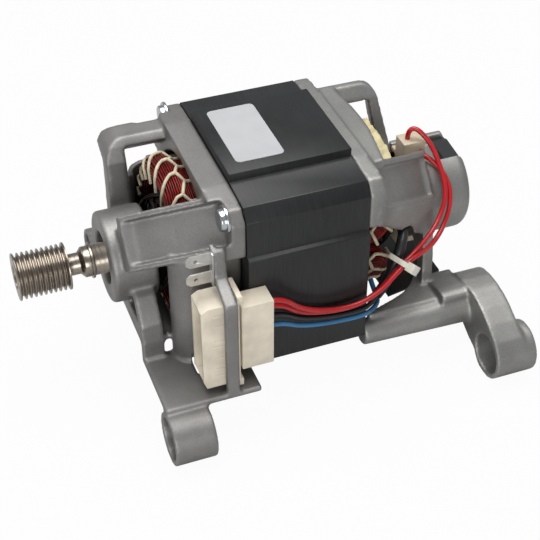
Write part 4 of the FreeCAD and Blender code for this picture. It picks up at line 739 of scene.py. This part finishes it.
class CoilsOperator(bpy.types.Operator):
    """Wind the field coils and lace their ends"""
    bl_idname = "motor.coils"
    bl_label = "Field coils"

    def execute(self, context):
        sizes, colours = context.scene.motor_sizes, context.scene.motor_colours
        enamel = enamelled_wire("coil_enamel", colours.coil_enamel)
        cotton = lacing_cotton("lacing_cord", colours.lacing)
        chance = random.Random(7)
        turns, layers = sizes.coil_turns, sizes.coil_layers
        loops = []
        for layer in range(layers):
            for turn in range(turns):
                across = 2 * turn / (turns - 1) - 1
                deep = 2 * layer / (layers - 1) - 1
                loops.append(coil_loop(across, deep, chance.uniform(-0.12, 0.12)))
        for side, flip in (("upper", 0), ("lower", 180)):
            paths = [[round_spot(x, swelled(x, radius, angle + flip), angle + flip)
                      for x, radius, angle in loop] for loop in loops]
            coil = wires(f"{side}_coil_winding", paths, sizes.enamel_wire, enamel, 5, True)
            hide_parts(f"field_coil_{side}", f"field_coil_core_{side}")
            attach(coil, "root")
            net = []
            cells = sizes.lacing_cells
            pitch = LACING_SPAN / cells
            for rear in (False, True):
                for cell in range(cells):
                    here = LACING_START + cell * pitch + chance.uniform(-1, 1)
                    depth = KNOT_DEPTH + chance.uniform(-0.6, 0.6)
                    knot, fork = (depth, here), (depth + 3.2, here + 4.8)
                    following = (depth, here + pitch)
                    # The first strand runs from the knot over the corner and inwards. The others
                    # make the fork, join it to the next knot and run back from it.
                    strands = (
                        [knot, (depth - 3, here + 1.2), (2, here + 5), (-1.5, here + 9.5),
                         (-5, here + 11), (-7, here + 11.5)],
                        [knot, fork],
                        [fork, following],
                        [fork, (depth + 8, here + 4.2), (depth + 13, here + 3)])
                    net += [lacing_strand(strand, rear, LACING_LIFT) for strand in strands]
            cords = [[round_spot(x, swelled(x, radius, angle + flip), angle + flip)
                      for x, radius, angle in line] for line in net]
            lacing = wires(f"{side}_coil_lacing", cords, sizes.lacing_cord, cotton, 6)
            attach(lacing, "root")
        sheet = self.crumpled_sheet(context)
        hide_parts("rear_coil_insulation")
        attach(sheet, "root")
        return {"FINISHED"}

    def crumpled_sheet(self, context):
        """Insulating sheet over the far rear coil end, loose and crumpled at its free edge."""
        across, along = 60, 36
        gap, ripple, flutter = 0.35, 0.25, 2.2
        points, faces = [], []
        for row in range(along + 1):
            for column in range(across + 1):
                x = SHEET_START + (SHEET_END - SHEET_START) * row / along
                angle = SHEET_FROM + SHEET_SPAN * column / across
                free = max(0, (x - SHEET_FREE_FROM) / SHEET_FREE_LENGTH)
                fold = noise.fractal(Vector((x / 7, angle / 9, 3.1)), 0.8, 2.2, 4)
                radius = COIL_OUTER + gap + ripple * fold + free * flutter * fold
                points.append(tuple(round_spot(x, max(COIL_OUTER, radius), angle)))
        for row in range(along):
            for column in range(across):
                corner = row * (across + 1) + column
                faces.append((corner, corner + across + 1, corner + across + 2, corner + 1))
        mesh = bpy.data.meshes.new("crumpled_coil_sheet")
        mesh.from_pydata(points, [], faces)
        tone = context.scene.motor_colours.insulation
        film = moulded_plastic("crumpled_film", tone, 0.5, 0.72, 5, 0.1)
        piece = new_piece("crumpled_coil_sheet", mesh, film)
        wall = piece.modifiers.new("wall", "SOLIDIFY")
        wall.thickness = SHEET_THICKNESS * MM
        wall.offset = 0
        settled(piece)
        piece.data.shade_smooth()
        return piece


def end_winding_paths(base, tip, wire_count, seed):
    """Crossing wires over one end of the armature, from slot to slot."""
    chance = random.Random(seed)
    slots, steps = ARMATURE_SLOTS, 28
    coil_span = 150  # degrees from the slot that a wire leaves to the slot that it enters
    slot_top, slot_layer = 26.0, 1.6
    paths = []
    for slot in range(slots):
        for wire in range(wire_count):
            start = 360 / slots * slot + chance.uniform(-7, 7)
            sweep = coil_span + chance.uniform(-6, 6)
            depth = chance.uniform(0.0, 1.0)
            top = slot_top - slot_layer * depth
            # Each slot's wires go out to a different share of the length, and deep ones less far.
            reach = (0.72 + 0.28 * ((slot * 7) % slots) / slots) * (1 - 0.1 * depth)
            path = []
            for step in range(steps + 1):
                share = step / steps
                rise = math.sin(math.pi * share)
                # Steeply out of the slot, then flat across the end and nearer to the shaft
                x = base + (tip - base) * reach * (1 - (1 - rise) ** 2.6)
                radius = top - 8.5 * max(0, rise - 0.35) ** 1.3
                path.append(round_spot(x, radius, start + sweep * share))
            paths.append(path)
    return paths


class ArmatureOperator(bpy.types.Operator):
    """Wind the armature and finish its core and commutator"""
    bl_idname = "motor.armature"
    bl_label = "Armature"

    def execute(self, context):
        sizes, colours = context.scene.motor_sizes, context.scene.motor_colours
        enamel = enamelled_wire("armature_enamel", colours.armature_enamel)
        for side, base, tip, seed in ARMATURE_ENDS:
            paths = end_winding_paths(base, tip, END_WIRES, seed)
            if side == "rear":
                # Wires from the winding up to the commutator's hooks
                for bar in range(COMMUTATOR_BARS):
                    angle = 360 / COMMUTATOR_BARS * (bar + 0.5)
                    paths.append([round_spot(182, 18.5, angle - 16), round_spot(185.5, 19.2, angle - 8),
                                  round_spot(188.6, 18.7, angle), round_spot(190.4, 18.2, angle + 0.5)])
            winding = wires(f"{side}_armature_wires", paths, sizes.armature_wire, enamel, 5)
            core = self.winding_core(base, tip, enamel)
            self.join(winding, core)
            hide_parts(f"armature_winding_{side}")
            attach(winding, "rotor")
        bundles = []
        # Rows of wires in a slot, by radius and by half the width that the slot leaves them
        rows = ((26.6, 0), (24.6, 0.9), (23.0, 2.6), (21.6, 2.3), (20.2, 1.9), (18.8, 1.6), (17.4, 1.3))
        wire_room = 0.85
        for slot in range(ARMATURE_SLOTS):
            turn = math.radians(360 / ARMATURE_SLOTS * slot)
            for radius, half in rows:
                count = max(1, int(half * 2 / wire_room) + 1)
                for place in range(count):
                    shift = 0 if count == 1 else -half + 2 * half * place / (count - 1)
                    ends = []
                    for x in (STACK_START - 0.1, STACK_END + 0.1):
                        y = -math.sin(turn) * radius + math.cos(turn) * shift
                        z = math.cos(turn) * radius + math.sin(turn) * shift
                        ends.append(spot(x, y, z))
                    bundles.append(ends)
        sides = wires("armature_slot_wires", bundles, sizes.armature_wire, enamel, 6)
        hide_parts("armature_slot_bars")
        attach(sides, "rotor")
        sheets = lacquered_sheets("armature_sheets", linear("55504c"), sizes.sheet_pitch)
        dress(["armature_core"], sheets)
        copper = turned_steel("commutator_copper", colours.copper, 0.3, 0.3)
        dress(["commutator_bars", "commutator_hooks"], copper)
        dress(["commutator_hub"], moulded_plastic("phenolic_hub", linear("3c2a20"), 0.5))
        return {"FINISHED"}

    def winding_core(self, base, tip, material):
        """Closed body under the crossing wires."""
        inner = 9.2
        profile = [(base, inner), (base, 23.6), (base + (tip - base) * 0.5, 23.8),
                   (base + (tip - base) * 0.8, 20.5), (base + (tip - base) * 0.97, 15.5),
                   (base + (tip - base) * 0.99, inner)]
        count = 36
        points, faces = [], []
        for x, radius in profile:
            points += [tuple(round_spot(x, radius, 360 / count * step)) for step in range(count)]
        rows = len(profile)
        for row in range(rows):
            following = (row + 1) % rows
            for step in range(count):
                ahead = (step + 1) % count
                faces.append((row * count + step, row * count + ahead, following * count + ahead,
                              following * count + step))
        mesh = bpy.data.meshes.new("winding_core")
        mesh.from_pydata(points, [], faces)
        shape = bmesh.new()
        shape.from_mesh(mesh)
        bmesh.ops.recalc_face_normals(shape, faces=shape.faces)
        shape.to_mesh(mesh)
        shape.free()
        mesh.shade_smooth()
        return new_piece("winding_core", mesh, material)

    def join(self, piece, other):
        """Add another piece's mesh to a piece."""
        shape = bmesh.new()
        shape.from_mesh(piece.data)
        shape.from_mesh(other.data)
        shape.to_mesh(piece.data)
        shape.free()
        bpy.data.objects.remove(other)


class DriveOperator(bpy.types.Operator):
    """Finish the pulley, the shaft, the bearings and the through bolts"""
    bl_idname = "motor.drive"
    bl_label = "Pulley, shaft and bearings"

    def execute(self, context):
        colours = context.scene.motor_colours
        steel = turned_steel("turned_steel", colours.steel)
        for node in ("pulley", "shaft", "shaft_ring"):
            piece = soften(merged_copy(node, "turned_" + node), 0.12, steel, 1)
            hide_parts(node)
            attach(piece, "rotor")
        ground = plated_steel("ground_bearing_steel", linear("b9bcc0"), 0.2)
        seal = moulded_plastic("bearing_seal_rubber", linear("2b2b2c"), 0.5)
        for name in ("front", "rear"):
            dress([f"{name}_bearing_{part}" for part in ("outer_ring", "inner_ring", "balls")], ground)
            dress([f"{name}_bearing_{part}" for part in ("front_seal", "back_seal")], seal)
        zinc = plated_steel("zinc_plating", colours.zinc, 0.18)
        bolts = soften(merged_copy("through_bolts", "zinc_bolts"), 0.25, zinc, 2)
        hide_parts("through_bolts")
        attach(bolts, "root")
        return {"FINISHED"}


class ConnectorOperator(bpy.types.Operator):
    """Finish the connector, its contacts and the earth terminal"""
    bl_idname = "motor.connector"
    bl_label = "Connector"

    def execute(self, context):
        colours = context.scene.motor_colours
        nylon = moulded_plastic("cream_nylon", colours.nylon, 0.45, 0.8, 11)
        for node, width in (("connector_housing", 0.5), ("connector_rear_shell", 0.4)):
            piece = soften(merged_copy(node, node + "_moulded"), width, nylon)
            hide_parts(node)
            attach(piece, "root")
        tin = plated_steel("tinned_brass", colours.tin, 0.34)
        tabs = soften(merged_copy("earth_terminal", "tinned_earth_tabs"), 0.15, tin, 1)
        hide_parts("earth_terminal")
        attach(tabs, "root")
        dress(["connector_contacts"], plated_steel("contact_brass", colours.brass, 0.3))
        return {"FINISHED"}


class BrushesOperator(bpy.types.Operator):
    """Finish the brushes, their holders and springs, and the speed sensor"""
    bl_idname = "motor.brushes"
    bl_label = "Brushes"

    def execute(self, context):
        colours = context.scene.motor_colours
        beige = moulded_plastic("beige_thermoset", colours.holder, 0.5, 0.85, 8)
        carbon = moulded_plastic("pressed_carbon", linear("26272a"), 0.6, 0.8, 2, 0.04)
        spring_steel = plated_steel("spring_steel", linear("a8a6a2"), 0.3)
        for side, level in (("upper", 1), ("lower", -1)):
            holder = soften(merged_copy(f"brush_holder_{side}", f"{side}_brush_box"), 0.35, beige)
            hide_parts(f"brush_holder_{side}")
            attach(holder, "root")
            dress([f"brush_{side}"], carbon)
            spring = wires(f"{side}_coil_spring", [self.spring_path(level)], 0.45 * MM, spring_steel, 6)
            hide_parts(f"brush_spring_{side}")
            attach(spring, "root")
            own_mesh(spring)
        black = moulded_plastic("black_polyamide_and_shade_fill", linear("1d1e20"), 0.4)
        # The tacho cover is black plastic. The rear guard is painted shade: a black piece put where the
        # inside of the rear bracket lies in shadow.
        dress(["tacho_cover", "rear_guard"], black)
        dress(["tacho_coil"], moulded_plastic("sensor_bobbin", linear("e6e2d8"), 0.4))
        dress(["tacho_magnet"], moulded_plastic("ferrite", linear("2f2e2d"), 0.6))
        return {"FINISHED"}

    def spring_path(self, level):
        """Centre line of a brush spring, above the shaft for level 1 and below it for -1."""
        low, high, radius = 26.6, 29.1, 2.1
        turns, steps = 4, 14
        path = []
        for step in range(turns * steps + 1):
            turn = 2 * math.pi * step / steps
            height = low + (high - low) * step / (turns * steps)
            path.append(spot(BRUSH_X + radius * math.cos(turn), radius * math.sin(turn),
                             level * height))
        return path


class MotorPanel(bpy.types.Panel):
    """Lists the steps that build the motor"""
    bl_idname = "VIEW3D_PT_motor"
    bl_label = "Washing machine motor"
    bl_space_type = "VIEW_3D"
    bl_region_type = "UI"
    bl_category = "Motor"

    def draw(self, context):
        layout = self.layout
        for operator in OPERATORS:
            layout.operator(operator.bl_idname)
        for group in (context.scene.motor_sizes, context.scene.motor_colours):
            box = layout.box()
            for name in group.bl_rna.properties.keys():
                if name not in ("rna_type", "name"):
                    box.prop(group, name)


OPERATORS = (StageOperator, LeadsOperator, CastingsOperator, StackOperator, CoilsOperator,
             ArmatureOperator, DriveOperator, ConnectorOperator, BrushesOperator)
CLASSES = (MotorSizes, MotorColours, *OPERATORS, MotorPanel)


def register():
    for item in CLASSES:
        bpy.utils.register_class(item)
    bpy.types.Scene.motor_sizes = PointerProperty(type=MotorSizes)
    bpy.types.Scene.motor_colours = PointerProperty(type=MotorColours)


def unregister():
    del bpy.types.Scene.motor_colours
    del bpy.types.Scene.motor_sizes
    for item in reversed(CLASSES):
        bpy.utils.unregister_class(item)


def main():
    """Build every piece in order."""
    register()
    for operator in OPERATORS:
        group, name = operator.bl_idname.split(".")
        getattr(getattr(bpy.ops, group), name)()


if __name__ == "__main__":
    main()
